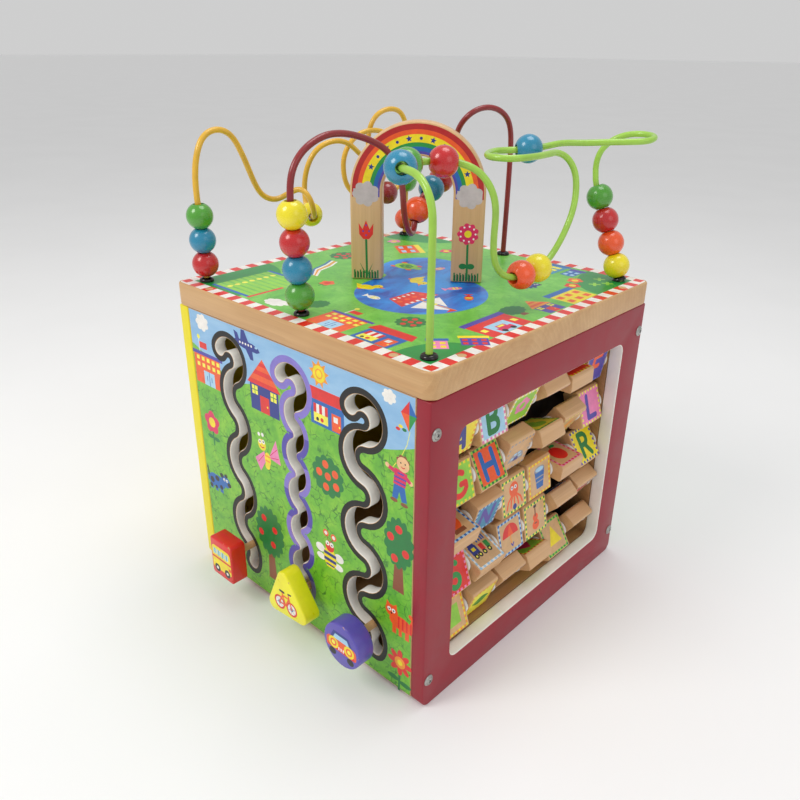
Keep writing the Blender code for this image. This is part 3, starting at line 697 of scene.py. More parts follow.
def lathe_bmesh(profile, sides=48, bm=None, material=0, closed=True, move=0.0):
    """A profile of (radius, height) points in millimetres turned about Z."""
    bm = bm or bmesh.new()
    rings = []
    for radius, height in profile:
        z = (height + move) * MM
        if radius < 1e-6:
            rings.append([bm.verts.new((0, 0, z))] * sides)
            continue
        angles = [math.tau * i / sides for i in range(sides)]
        rings.append(
            [bm.verts.new((radius * MM * math.cos(a), radius * MM * math.sin(a), z))
            for a in angles]
        )
    pairs = list(zip(rings, rings[1:] + rings[:1])) if closed else list(zip(rings, rings[1:]))
    for upper, lower in pairs:
        for i in range(sides):
            j = (i + 1) % sides
            corners = []
            for vert in (upper[i], lower[i], lower[j], upper[j]):
                if vert not in corners:
                    corners.append(vert)
            if len(corners) > 2:
                bm.faces.new(corners).material_index = material
    return bm


def finish_bmesh(name, bm, place):
    bmesh.ops.recalc_face_normals(bm, faces=bm.faces)
    bm.transform(place)
    mesh = bpy.data.meshes.new(name)
    bm.to_mesh(mesh)
    bm.free()
    return mesh


def aimed(direction):
    """The rotation that turns +Z to a direction."""
    return Vector((0, 0, 1)).rotation_difference(Vector(direction)).to_matrix().to_4x4()


ALONG_X = aimed((1, 0, 0))
ALONG_Y = aimed((0, 1, 0))


# ---------------------------------------------------------------- small pictures, drawn about (0, 0)


def draw_cloud(art, colour="white"):
    art.paint(colour, lobed(0, 0, 12, 10, 7, 0.12))


def draw_sun(art):
    art.paint("amber", star(0, 0, 15, 9, 9), disc(0, 0, 10)).paint("yellow", disc(0, 0, 9))
    art.paint("amber", disc(0, 0, 5.4)).paint("yellow", disc(0, 0, 4))


def draw_plane(art):
    art.paint("navy", [(-20, 2), (-8, 4), (10, 3), (18, 0), (20, -3), (15, -5), (-2, -5), (-16, -3)])
    art.paint("navy", [(-20, 11), (-14, 9), (-11, 2), (-18, 2)], [(-10, 3), (-8, 14), (-3, 14), (3, 3)])
    art.paint("navy", [(-3, -4), (4, -14), (9, -14), (8, -4)])
    art.paint("white", *[disc(x, 0.3, 1.3, sides=10) for x in (-11, -6.5, -2, 2.5, 7)])
    art.paint("light_blue", bar(12.5, -0.5, 16, 1.3))


def draw_tree(art, wide=22, tall=None, fruit="orange", trunk=26, spots=None, lobes=12):
    tall = tall or wide
    if trunk:
        art.paint("brown", [(-7, -tall - trunk), (7, -tall - trunk), (5, -tall + 5), (-5, -tall + 5)])
    art.paint("green", lobed(0, 0, wide, tall, lobes, 0.07))
    for x, y in spots or ((0, 0), (-12, 1), (-3, 12), (10, 6), (11, -7), (-3, -12)):
        art.paint(fruit, disc(x * wide / 22, y * tall / 22, 4.3, sides=14))


def draw_flower(art, petal="crimson", centre="yellow", radius=14, stem=27, petals=5, leaf="green"):
    art.paint(leaf, *stroke([(0, -radius + 3), (0.5, -stem)], 2.4))
    art.paint(leaf, disc(-5, -stem + 9, 5.5, 2.6, 12), disc(6, -stem + 8, 5.5, 2.6, 12))
    art.paint(petal, lobed(0, 0, radius, radius, petals, 0.16, petals * 10, math.pi / 4))
    art.paint(centre, disc(0, 0, radius * 0.42, sides=18))


def draw_daisy(art, petal="red", centre="amber", radius=15):
    art.paint("green", *stroke([(0, -8), (-1, -34)], 2.6))
    art.paint("green", disc(-8, -22, 8, 3, 12), disc(7, -24, 8, 3, 12))
    for i in range(8):
        angle = math.tau * i / 8
        base_x, base_y = math.cos(angle) * radius * 0.62, math.sin(angle) * radius * 0.62
        petal_outline = [
            (
                base_x + math.cos(angle) * u - math.sin(angle) * v,
                base_y + math.sin(angle) * u + math.cos(angle) * v,
            )
            for u, v in disc(0, 0, radius * 0.42, radius * 0.22, 14)
        ]
        art.paint(petal, petal_outline)
    art.paint(centre, disc(0, 0, radius * 0.45, sides=18))
    art.paint("yellow", disc(0, 0, radius * 0.22, sides=12))


def draw_house(art, wall="navy", roof="orange", stripe="red", width=44, wall_z=28, door="red"):
    half = width / 2
    art.paint(wall, bar(-half, 0, half, wall_z))
    rise = 29
    art.paint(roof, [(-half - 4, wall_z), (half + 4, wall_z), (0, wall_z + rise)])
    for low, high in ((0, 5), (11, 16), (21, 25)):
        left, right = (half + 4) * (1 - low / rise), (half + 4) * (1 - high / rise)
        art.paint(
            stripe,
            [(-left, wall_z + low), (left, wall_z + low), (right, wall_z + high), (-right, wall_z + high)],
        )
    for x in (-half + 3, half - 12):
        art.paint("lemon", bar(x, wall_z - 11, x + 9, wall_z - 1.5))
        art.paint("leaf", bar(x + 4, wall_z - 11, x + 5, wall_z - 1.5))
        art.paint("leaf", bar(x, wall_z - 6.8, x + 9, wall_z - 5.8))
    art.paint(door, bar(-7, 0, 7, 18)).paint("yellow", disc(4, 8, 1.2, sides=8))


def draw_school(art, wall="orange", roof="purple"):
    art.paint("white", bar(11, 35, 12, 52))
    art.paint("red", bar(12, 41, 25, 48))
    art.paint("lemon", disc(11.5, 53, 2.6, sides=10))
    art.paint(wall, bar(0, 0, 46, 35)).paint(roof, bar(-2, 33, 51, 37))
    for z in (19.5, 27):
        art.paint("lemon", *[bar(x, z, x + 5, z + 4.4) for x in (4.5, 13.5, 22.5, 31.5, 40)])
    art.paint("light_blue", bar(15, 0, 34, 16))
    art.paint("blue", bar(24, 0, 25, 16), bar(20, 5, 21, 11), bar(28, 5, 29, 11))


def draw_shop(art, wall="blue", roof="red"):
    art.paint(wall, bar(0, 0, 44, 26)).paint(roof, [(-4, 25), (48, 25), (44, 37), (0, 37)])
    art.paint("lemon", bar(4, 3, 23, 12))
    art.paint("black", disc(9, 6, 1.9, sides=10))
    art.paint("red", disc(15, 6.5, 2.2, sides=10))
    for i in range(5):
        art.paint("red" if i % 2 == 0 else "white", bar(4 + 3.8 * i, 12, 7.8 + 3.8 * i, 21))
    art.paint("orange", bar(28, 1, 40, 18))
    art.paint("white", bar(30.5, 10, 36, 15.5))
    art.paint("lemon", disc(38, 7, 1.1, sides=8))


def draw_child(art):
    art.paint("blue", [(-8, -24), (-2, -24), (0, -16), (3, -25), (9, -24), (6, -9), (-6, -9)])
    art.paint("brown", disc(-6, -26, 4.4, 2, 12), disc(6, -27, 4.4, 2, 12))
    art.paint("crimson", [(-7, -10), (7, -10), (9, 4), (-5, 6)])
    art.paint("purple", bar(-6, -8, 7, -6.3), bar(-6, -3.5, 8, -1.8), bar(-5, 1, 8.5, 2.6))
    art.paint("crimson", *stroke([(-4, 2), (-12, 4)], 4))
    art.paint("skin", disc(-14, 5, 2.4, sides=10), disc(13, -3, 2.4, sides=10))
    art.paint("crimson", *stroke([(7, 1), (11, -2)], 4))
    art.paint("brown", lobed(4, 13, 8, 7.6, 8, 0.1)).paint("skin", disc(4, 11.5, 7, sides=18))
    art.paint("black", disc(1.5, 12.5, 0.8, sides=8), disc(6.5, 12.5, 0.8, sides=8))
    art.paint("red", *stroke([(2, 9), (4, 8), (6, 9)], 0.9))


def draw_kite(art):
    art.paint("red", [(0, 14), (-9, 2), (0, 2)]).paint("blue", [(0, 14), (8, 2), (0, 2)])
    art.paint("orange", [(-9, 2), (0, 2), (0, -13)]).paint("leaf", [(8, 2), (0, 2), (0, -13)])
    art.paint("green", disc(-5, -13, 2.6, 1.6, 8))
    art.paint("yellow", disc(-9, -11, 2.6, 1.6, 8))
    art.paint("red", disc(-12, -14, 2.6, 1.6, 8))
    art.paint("lemon", *stroke([(1, -13), (-2, -26), (-9, -40), (-19, -54)], 0.6))


def draw_dog(art, coat="blue", spot="black"):
    art.paint(
        coat, lobed(-4, 0, 17, 9, 8, 0.05), bar(-17, -13, -11, -2), bar(-7, -13, -2, -2),
        bar(2, -12, 8, -2),
    )
    art.paint(coat, disc(14, 6, 9, 7.5, 16))
    art.paint(spot, disc(21, 4, 3.6, 3, 12), *stroke([(-18, 4), (-19, 14)], 2.2))
    art.paint(
        spot, disc(8, 12, 3.4, 3, 12), disc(16, 14, 3, 2.4, 12), disc(-12, -1, 4, sides=12),
        disc(-2, 4, 4, 3.4, 12),
    )
    art.paint(spot, disc(-15, -9, 3, sides=10), disc(5, -5, 3, sides=10), disc(-5, -8, 2.5, sides=10))
    art.paint("white", disc(12, 8, 2, sides=10), disc(17, 8, 2, sides=10))
    art.paint(spot, disc(12.4, 7.6, 0.8, sides=8), disc(17.4, 7.6, 0.8, sides=8))


def draw_cat(art):
    art.paint("orange", disc(3, 0, 15, 8, 20), *stroke([(15, 3), (18, 12), (14, 15)], 4.4))
    art.paint("orange", bar(-8, -15, -3, -2), bar(0, -15, 4, -3), bar(8, -15, 13, -2))
    art.paint("red", *[bar(x, -6, x + 2, 7) for x in (-1, 4, 9, 14)])
    art.paint(
        "orange", disc(-9, 9, 8, 7, 18), [(-16, 12), (-15, 19), (-10, 15)],
        [(-8, 15), (-3, 19), (-2, 12)],
    )
    art.paint("white", disc(-12, 10, 2.4, sides=10), disc(-6.5, 10, 2.4, sides=10))
    art.paint("black", disc(-12, 9.6, 1, sides=8), disc(-6.5, 9.6, 1, sides=8), disc(-9.2, 6.4, 1.1, sides=8))


def draw_bee(art):
    art.paint(
        "white", disc(-14, 3, 6.5, 5, 14), disc(-13, -7, 6.5, 4, 14), disc(13, 2, 6.5, 5, 14),
        disc(12, -9, 6.5, 4, 14),
    )
    body = [(-9, -8), (-5, -15), (5, -15), (9, -8), (9, 2), (5, 7), (-5, 7), (-9, 2)]
    art.paint("yellow", body)
    art.paint("navy", bar(-8.6, -8, 8.6, -4.4), bar(-8.6, -1, 8.6, 2.6), bar(-6, -13, 6, -11))
    art.paint("red", disc(0, 10, 6.2, sides=16))
    art.paint("white", disc(-3, 13, 2.8, sides=12), disc(3, 13, 2.8, sides=12))
    art.paint("black", disc(-3, 12.6, 1, sides=8), disc(3, 12.6, 1, sides=8))
    art.paint("orange", disc(-5, 24, 4, sides=14), disc(6, 23, 4, sides=14))
    art.paint("white", disc(-5, 24, 2.2, sides=10), disc(6, 23, 2.2, sides=10))
    art.paint("brown", *stroke([(-1.5, 16), (-4, 21)], 1), *stroke([(1.5, 16), (5, 20)], 1))


def draw_butterfly(art, wing="pink"):
    art.paint(wing, [(-3, 3), (-19, -10), (-11, -23), (-1, -8)], [(4, -2), (17, 22), (23, -4)])
    art.paint(
        "crimson", *stroke([(-4, -2), (-14, -13)], 0.8), *stroke([(6, 1), (18, 12)], 0.8),
        *stroke([(7, -1), (20, 2)], 0.8),
    )
    art.paint("yellow", disc(2, -5, 5, 8, 16), disc(1, -13, 4, 4, 12))
    art.paint("yellow", disc(-6, 9, 6.5, sides=16))
    art.paint("amber", bar(-2, -8, 6, -6), bar(-2, -2.5, 6, -0.5))
    art.paint(
        "white", disc(-9, 12, 2.6, sides=10), disc(-3.5, 13, 2.6, sides=10),
        disc(-10, 20, 2.2, sides=10), disc(-4, 21, 2.2, sides=10),
    )
    art.paint("black", disc(-9, 12, 1, sides=8), disc(-3.5, 13, 1, sides=8))
    art.paint("red", *stroke([(-9, 7), (-6, 5.6), (-3, 7)], 1.2))


def draw_boat(art):
    art.paint("red", [(-26, 14), (30, 14), (20, -13), (-16, -13)])
    art.paint(
        "white", *[bar(x, 10, x + 4, 13.6) for x in range(-22, 26, 8)],
        *[bar(x, -10, x + 3, -6) for x in range(-12, 18, 7)],
    )
    art.paint("orange", *[disc(x, 1, 3, sides=12) for x in (-14, -3, 8, 19)])
    art.paint("amber", bar(0, 14, 2, 60))
    art.paint("white", [(3, 18), (3, 56), (26, 22)], [(-2, 18), (-2, 46), (-20, 20)])
    art.paint("lemon", bar(-2, 30, 12, 34))
    art.paint("red", [(1, 60), (1, 52), (12, 56)])


def draw_duck(art):
    art.paint(
        "yellow", lobed(0, 0, 11, 7.5, 5, 0.06), disc(9, 8, 5.4, sides=16),
        [(-11, 0), (-16, 6), (-8, 5)],
    )
    art.paint("orange", [(13, 8), (20, 6), (13, 4)], disc(-3, -8, 3, 1.6, 8))
    art.paint("black", disc(10, 9.5, 0.9, sides=8))


def draw_fish(art, colour="pink"):
    art.paint(colour, disc(0, 0, 8, 4.6, 16), [(-7, 0), (-13, 5), (-12, -5)])
    art.paint("lemon", bar(-2, -3.6, 0, 3.6), bar(2, -3.4, 3.6, 3.4))
    art.paint("black", disc(5, 1, 0.8, sides=8))


def draw_turtle(art):
    art.paint("orange", *[disc(x, y, 4, 2.6, 10) for x, y in ((-11, 9), (11, 9), (-11, -9), (11, -9))])
    art.paint("lime", disc(0, 0, 14, 11, 22), disc(16, 1, 5, 4, 12)).paint("leaf", lobed(0, 0, 9, 7, 6, 0.1))
    art.paint("lime", *[disc(x, y, 1.5, sides=8) for x, y in ((-4, 2), (3, 3), (0, -3))])


def draw_row_house(art, wide, tall, roof, wall, rows=2, columns=2, window="yellow"):
    """A block with a flat roof band and a grid of windows, its foot at y = 0."""
    art.paint(wall, bar(0, 0, wide, tall)).paint(roof, bar(-2, tall, wide + 2, tall + 8))
    for row in range(rows):
        for column in range(columns):
            x, y = wide * (column + 0.5) / columns, tall * (row + 0.6) / (rows + 0.2)
            art.paint(window, bar(x - wide * 0.28 / columns, y - 3.4, x + wide * 0.28 / columns, y + 3.4))


# ---------------------------------------------------------------- tracks


def track_route(name, steps=14):
    """The track's centreline as (x, z) points, from its bottom end to the tip of its hook."""
    middle_x, swing, rise, lowest, count, hook_turn = TRACKS[name]
    radius = (rise / 2) ** 2 / (2 * swing) + swing / 2
    half_angle = math.degrees(math.asin(rise / 2 / radius))
    points = []
    for index in range(count):
        z = lowest + index * rise
        if index % 2 == 0:
            start = LOWEST_START_DEG if index == 0 else -half_angle
            x = middle_x + swing - radius
            stretch = arc(x, z, radius, start, half_angle, steps)
        else:
            last = 180 - (hook_turn if index == count - 1 else half_angle)
            x = middle_x - swing + radius
            stretch = arc(x, z, radius, 180 + half_angle, last, steps)
        points += stretch[1:] if points else stretch
    leave = math.radians(180 - hook_turn)
    hook_x, hook_z = x + (radius + HOOK_R) * math.cos(leave), z + (radius + HOOK_R) * math.sin(leave)
    return points + arc(hook_x, hook_z, HOOK_R, -hook_turn, HOOK_END_DEG, 30)[1:]


def ribbon(route, width, end_steps=12):
    """The outline of a band of constant width round a route, with round ends."""
    points = np.array(route)
    ahead = np.gradient(points, axis=0)
    ahead /= np.linalg.norm(ahead, axis=1)[:, None]
    across = np.stack([ahead[:, 1], -ahead[:, 0]], axis=1) * width / 2

    def cap(index, sign):
        start = math.degrees(math.atan2(sign * across[index][1], sign * across[index][0]))
        return arc(*points[index], width / 2, start, start + 180, end_steps)[1:-1]

    right = [tuple(p) for p in points + across]
    left = [tuple(p) for p in (points - across)[::-1]]
    return right + cap(-1, 1) + left + cap(0, -1)


SLOT_EDGE = 0.9
BAND_WIDTH = {"bus": 6.8, "bicycle": 7.6, "car": 6.8}
PURPLE_STEPS = (31.5, 64, 98, 130, 162, 195.6, 228.6, 258.6)


def paint_bands(art):
    """The printed band round each slot: glitter black, or purple and lilac by turns up the middle one."""
    for name in TRACKS:
        outline = ribbon(track_route(name), SLOT_WIDTH + 2 * BAND_WIDTH[name])
        art.paint("glitter" if name != "bicycle" else "lilac", outline)
        if name == "bicycle":
            for low, high in zip(PURPLE_STEPS[1::2], PURPLE_STEPS[2::2]):
                piece = [p for p in track_route(name, 14) if low - 12 < p[1] < high + 12]
                ring = ribbon(piece, SLOT_WIDTH + 2 * BAND_WIDTH[name])
                art.paint("purple", clipped(ring, low, high))
        art.cut(ribbon(track_route(name), SLOT_WIDTH + 2 * SLOT_EDGE))


def clipped(outline, low, high):
    """The part of an outline between two heights."""
    for level, keep_above in ((low, True), (high, False)):
        kept = []
        for a, b in zip(outline, outline[1:] + outline[:1]):
            a_in, b_in = (a[1] >= level) == keep_above, (b[1] >= level) == keep_above
            if a_in:
                kept.append(a)
            if a_in != b_in:
                share = (level - a[1]) / (b[1] - a[1])
                kept.append((a[0] + (b[0] - a[0]) * share, level))
        outline = kept
    return outline


def hills(half, low, high):
    """Sky with a rolling green skyline in front, as wide as a panel."""
    skyline = [
        (-half + half * i / 30, 269 + 13 * math.cos(math.tau * (-half + half * i / 30 - 10) / 190))
        for i in range(61)
    ]
    return [(-half, low), (half, low)] + skyline[::-1], bar(-half, low, half, high)


def make_track_panel():
    half, low, high = TRACK_HIGH.x / MM, TRACK_LOW.z / MM, TRACK_HIGH.z / MM
    solid = Art().paint("white", bar(-half, low, half, high))
    for name in TRACKS:
        solid.cut(ribbon(track_route(name), SLOT_WIDTH))
    inside = half - 3
    mesh = board_mesh(
        "track_board", solid, TRACK_HIGH.y - TRACK_LOW.y, 0.8 * MM,
        Matrix.Translation((0, TRACK_LOW.y, 0)) @ TO_FRONT,
        lambda x, z: abs(x) < inside and low + 5 < z < high - 5,
    )
    add_piece(
        "track_board", mesh, ("panel_wood", "white_paint"), slot="printed_wood",
        replaces=("track_panel",),
    )

    land, sky = hills(half - 1, low + 1, high - 1)
    art = Art().paint("sky", sky).paint("hill", land)
    draw_cloud(art.at(-135, 305, size=0.95))
    draw_cloud(art.at(129, 308, size=0.68))
    draw_plane(art.at(-60, 301))
    draw_sun(art.at(44, 302, size=0.9))
    draw_kite(art.at(151, 297))
    draw_child(art.at(141, 240))
    draw_school(art.at(-156, 235))
    draw_house(art.at(-38, 235))
    draw_shop(art.at(31, 251))
    draw_flower(art.at(-136, 191))
    draw_tree(art.at(51, 201), trunk=0)
    draw_butterfly(art.at(-42, 188))
    draw_tree(art.at(141, 171), 18, 27, "red", 25, ((0, 12), (-12, 3), (10, -6), (-6, -14)), 14)
    draw_tree(art.at(-46, 92), 24, 32, "red", 30, ((-8, 10), (8, 4), (-14, -4), (4, -10)), 16)
    draw_dog(art.at(-136, 116))
    draw_bee(art.at(50, 112))
    draw_cat(art.at(142, 84))
    draw_daisy(art.at(144, 37))
    art.at()
    paint_bands(art)
    print_sheet("track_print", art, Matrix.Translation((0, TRACK_LOW.y, 0)) @ TO_FRONT, slot="printed_wood")


# ---------------------------------------------------------------- top board


def check_border(art, half_x, half_y, width, square, colours, corner=0):
    """A border of squares in two colours by turns, round a rectangle about the middle."""
    art.paint(colours[1], rounded_rectangle((-half_x, -half_y), (half_x, half_y), [corner] * 4))
    for half, across, swap in ((half_x, half_y, False), (half_y, half_x, True)):
        count = max(3, round(2 * half / square) // 2 * 2 + 1)
        step = 2 * half / count
        for i in range(0, count, 2):
            start = -half + i * step
            inset = corner * 0.3 if corner and i in (0, count - 1) else 0
            for sign in (-1, 1):
                edge = bar(
                    start + (inset if i == 0 else 0), sign * (across - inset),
                    start + step - (inset if i else 0), sign * (across - width),
                )
                art.paint(colours[0], [(y, x) for x, y in edge] if swap else edge)


def make_top_board():
    half = BOARD_HIGH.x / MM
    corner = TOP_CORNER_R / MM
    solid = Art().paint("white", rounded_rectangle((-half, -half), (half, half), [corner] * 4, 10))
    place = Matrix.Translation((0, 0, TOP_Z))
    mesh = board_mesh("top_slab", solid, BOARD_HIGH.z - BOARD_LOW.z, 2.2 * MM, place)
    add_piece("top_slab", mesh, ("board_wood",), slot="natural_wood", replaces=("top_board",))

    edge = half - 2.4
    art = Art()
    check_border(art, edge, edge, 12.2, 10.6, ("red", "white"), corner - 2.4)
    art.paint("field", bar(-160.5, -160.5, 160.5, 160.5))
    paint_town(art)
    art.paint(
        "bare_wood",
        *[
            disc(x, y, 4, sides=20)
            for x, y in ((127, -166), (166, -129), (-126, -166), (166, 130), (-166, 128))
        ],
    )
    for route in WIRE_ROUTES.values():
        art.cut(*[disc(foot[0], foot[1], 4.2) for foot in (route[0], route[-1])])
    print_sheet("top_print", art, place, slot="printed_wood")


def corner_patch(x, y, sign_x, sign_y, reach_x, reach_y):
    """A quarter-round hill filling one corner of the field."""
    return [(x, y)] + [
        (x - sign_x * reach_x * math.cos(math.radians(a)), y - sign_y * reach_y * math.sin(math.radians(a)))
        for a in range(0, 91, 9)
    ]


def paint_town(art):
    edge = 160.5
    art.paint("leaf", corner_patch(-edge, -edge, -1, -1, 75, 95), corner_patch(edge, -edge, 1, -1, 38, 55))
    art.paint("leaf", corner_patch(edge, edge, 1, 1, 52, 68), corner_patch(-edge, edge, -1, 1, 80, 42))
    art.paint("water", disc(-25, 40, 47, sides=56), disc(32.5, -27.5, 66, sides=64), disc(4, 8, 42, sides=40))
    draw_boat(art.at(36, -45, -90, 0.95))
    draw_duck(art.at(0, 2, -60))
    draw_duck(art.at(-20, -52, 10))
    for colour, x, y, turn in (
        ("pink", 47, 7, 60), ("red", 77, -8, -50), ("white", 10, -71, 0), ("pink", -12, 52, 80),
    ):
        draw_fish(art.at(x, y, turn), colour)
    draw_turtle(art.at(-45, 35, 0))
    for x, y, size in ((-127, 17, 0.75), (84, -99, 0.66)):
        draw_tree(art.at(x, y, 0, size), fruit="red", trunk=0)
    draw_tree(art.at(129, -9, 90, 0.62), 25, 18, "green", 8, ((0, 0),))
    draw_tree(art.at(-12, -122, 0, 0.5), 20, 24, "green", 10, ((0, 0),))
    draw_row_house(art.at(160, 48, 90), 42, 27, "blue", "yellow", 2, 3, "orange")
    draw_house(art.at(159, 22, 90, 0.66), "purple", "orange", "amber", 40)
    art.at(160, -79, 90)
    art.paint("red", bar(0, 0, 57, 31))
    art.paint("purple", bar(-1, 31, 58, 38))
    art.paint("light_blue", bar(14, 0, 42, 22))
    art.paint("crimson", bar(18, 4, 38, 11), bar(22, 10, 34, 16))
    art.paint("black", disc(22, 4, 3, sides=12), disc(34, 4, 3, sides=12))
    art.paint("lemon", bar(4, 12, 10, 18), bar(47, 12, 53, 18), bar(24, 12, 32, 15))
    draw_school(art.at(13, -160))
    draw_shop(art.at(70, -160))
    art.at(-45, -147)
    art.paint("white", lobed(0, 0, 14, 9, 8, 0.08), disc(12, 6, 6, sides=16))
    art.paint("black", disc(14, 7, 0.9, sides=8))
    draw_row_house(art.at(138, -137, 45, 0.7), 24, 26, "blue", "pink", 2, 2, "yellow")
    draw_row_house(art.at(152, -112, 45, 0.7), 34, 24, "yellow", "purple", 2, 3, "red")
    art.at(-135, -152)
    art.paint("lime", bar(0, 0, 58, 66))
    art.paint("blue", bar(-2, 66, 30, 70), bar(-2, -4, 56, 0))
    art.paint("red", bar(56, -4, 60, 40))
    art.paint("field", *[bar(0, y, 56, y + 3) for y in range(5, 64, 8)])
    art.paint("lemon", *[disc(16, y, 3, sides=10) for y in range(6, 66, 9)])
    for i, colour in enumerate(("blue", "white", "amber", "white")):
        art.at()
        art.paint(
            colour,
            *stroke(
                [(-122 + 3.4 * i, -8), (-114 + 3.4 * i, -24), (-108 + 3 * i, -44), (-92 + 2 * i, -60)],
                2.6,
            ),
        )
    draw_flower(art.at(-58, -70, 0, 0.6), "orange", "red", 14, 20)
    draw_row_house(art.at(-118, 92, -35, 0.8), 46, 30, "yellow", "orange", 2, 2, "light_blue")
    for x, y, petal in ((-135, 110, "pink"), (-57, 118, "crimson"), (118, 118, "orange"), (126, 100, "red")):
        draw_flower(art.at(x, y, 0, 0.62), petal, "yellow", 14, 18)
    draw_row_house(art.at(66, 122, 0, 0.9), 24, 34, "blue", "teal", 3, 1, "lemon")
    draw_row_house(art.at(93, 128, 0, 0.8), 20, 26, "purple", "blue", 2, 2, "light_blue")
    for x, y in ((140, 120), (134, 140), (148, 132)):
        art.at(x, y, 30).paint("lime", bar(-6, -1.6, 6, 1.6), bar(-1.6, -6, 1.6, 6))
    draw_dog(art.at(97, 68, 60, 0.55), "navy")
    art.at()


# ---------------------------------------------------------------- side panels, back and base


def side_outline(edge=0.0):
    half, high = BODY_HIGH.y / MM - edge, BODY_HIGH.z / MM - edge
    corner = SIDE_CORNER_R / MM - edge
    return rounded_rectangle((-half, edge), (half, high), [corner, corner, 0, 0], 8)


def make_side_panels():
    window = rounded_rectangle(
        (-WINDOW_HALF_Y / MM, WINDOW_Z[0] / MM), (WINDOW_HALF_Y / MM, WINDOW_Z[1] / MM),
        [WINDOW_CORNER_R / MM] * 4, 8
    )
    art = Art().paint("white", side_outline()).cut(window)
    depth = BODY_HIGH.x - BODY_LOW.x
    mesh = board_mesh(
        "window_board", art, depth, 1.4 * MM, Matrix.Translation((BODY_HIGH.x, 0, 0)) @ TO_RIGHT,
        lambda y, z: abs(y) < 150 and 20 < z < 295,
    )
    add_piece(
        "window_board", mesh, ("red_paint", "white_paint"), slot="red_paint",
        replaces=("window_panel",),
    )

    left = Art().paint("white", side_outline())
    mesh = board_mesh(
        "yellow_board", left, depth, 1.4 * MM, Matrix.Translation((-BODY_HIGH.x, 0, 0)) @ TO_LEFT,
    )
    add_piece("yellow_board", mesh, ("yellow_paint",), slot="yellow_paint", replaces=("yellow_panel",))
    make_screws()


def make_screws():
    """Steel screws in cup washers, two up each side edge of both end panels."""
    washer = [(0, 0), (5.6, 0), (5.6, 0.5), (4.9, 1.3), (3.9, 1.6), (3.5, 1.2), (0, 1.2)]
    head = [(0, 1.1), (3.4, 1.1), (3.4, 1.5), (2.6, 2.1), (1.3, 2.35), (0, 2.4)]
    for side, rotation in (("window", ALONG_X), ("yellow", aimed((-1, 0, 0)))):
        x = BODY_HIGH.x if side == "window" else -BODY_HIGH.x
        for i, (y, z) in enumerate(((-166, 287), (166, 287), (-166, 31), (166, 31))):
            bm = lathe_bmesh(washer, 32, closed=False)
            lathe_bmesh(head, 32, bm, closed=False)
            # A thin black cross laid on each head: painted shade standing for the dark recess of the screw's
            # cross slot.
            for turn in (25, 115):
                slot = bmesh.ops.create_cube(bm, size=1)["verts"]
                bmesh.ops.transform(bm,
                matrix=Matrix.Translation((0, 0, 2.32 * MM)) @ Matrix.Rotation(math.radians(turn), 4, "Z")
                                    @ Matrix.Diagonal((3.4 * MM, 0.8 * MM, 0.3 * MM, 1)), verts=slot)
                for vert in slot:
                    for face in vert.link_faces:
                        face.material_index = 1
            place = Matrix.Translation((x, y * MM, z * MM)) @ rotation
            mesh = finish_bmesh(f"{side}_screw_{i + 1}", bm, place)
            add_piece(f"{side}_screw_{i + 1}", mesh, ("steel", "grommet"))


def make_back_panel():
    half, low, high = BACK_HIGH.x / MM, BACK_LOW.z / MM, BACK_HIGH.z / MM
    place = Matrix.Translation((0, BACK_HIGH.y, 0)) @ TO_BACK
    mesh = board_mesh(
        "back_board", Art().paint("white", bar(-half, low, half, high)), BACK_HIGH.y - BACK_LOW.y,
        0.8 * MM, place,
    )
    add_piece("back_board", mesh, ("panel_wood",), slot="printed_wood", replaces=("back_panel",))
    land, sky = hills(half - 1, low + 1, high - 1)
    art = Art().paint("sky", sky).paint("hill", land)
    draw_cloud(art.at(-110, 300))
    draw_cloud(art.at(60, 304, size=0.8))
    draw_sun(art.at(120, 296))
    draw_plane(art.at(-30, 298, flip=True))
    for x, wall, roof in ((-120, "navy", "orange"), (-50, "crimson", "blue"), (110, "purple", "yellow")):
        draw_house(
            art.at(x, 222), wall, roof, "red" if roof != "yellow" else "amber",
            door="lemon" if wall == "crimson" else "red",
        )
    draw_school(art.at(8, 226))
    draw_tree(art.at(-118, 140), 26, 32, "red", 30, None, 14)
    draw_tree(art.at(110, 130), 24, 30, "orange", 28, None, 14)
    art.at().paint("water", disc(0, 110, 62, 34, 60))
    draw_boat(art.at(0, 122, size=0.8))
    draw_duck(art.at(-40, 108))
    draw_duck(art.at(42, 104, flip=True))
    draw_dog(art.at(-110, 46))
    draw_cat(art.at(-30, 42))
    draw_bee(art.at(40, 44))
    draw_butterfly(art.at(-62, 190))
    draw_flower(art.at(90, 52))
    draw_daisy(art.at(132, 52))
    art.at()
    print_sheet("back_print", art, place, slot="printed_wood")


def make_base():
    low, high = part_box("bottom_board")
    art = Art().paint("white", bar(low.x / MM, low.y / MM, high.x / MM, high.y / MM))
    mesh = board_mesh("base_board", art, high.z - low.z, 0.8 * MM, Matrix.Translation((0, 0, high.z)))
    add_piece("base_board", mesh, ("panel_wood",), slot="plain_board", replaces=("bottom_board",))


# ---------------------------------------------------------------- tile window


def row_z(row):
    return sum(WINDOW_Z) / 2 + (len(TILE_TILT_DEG) // 2 - row) * TILE_PITCH_Z


def column_y(column):
    return (column - 2.5) * TILE_PITCH_Y


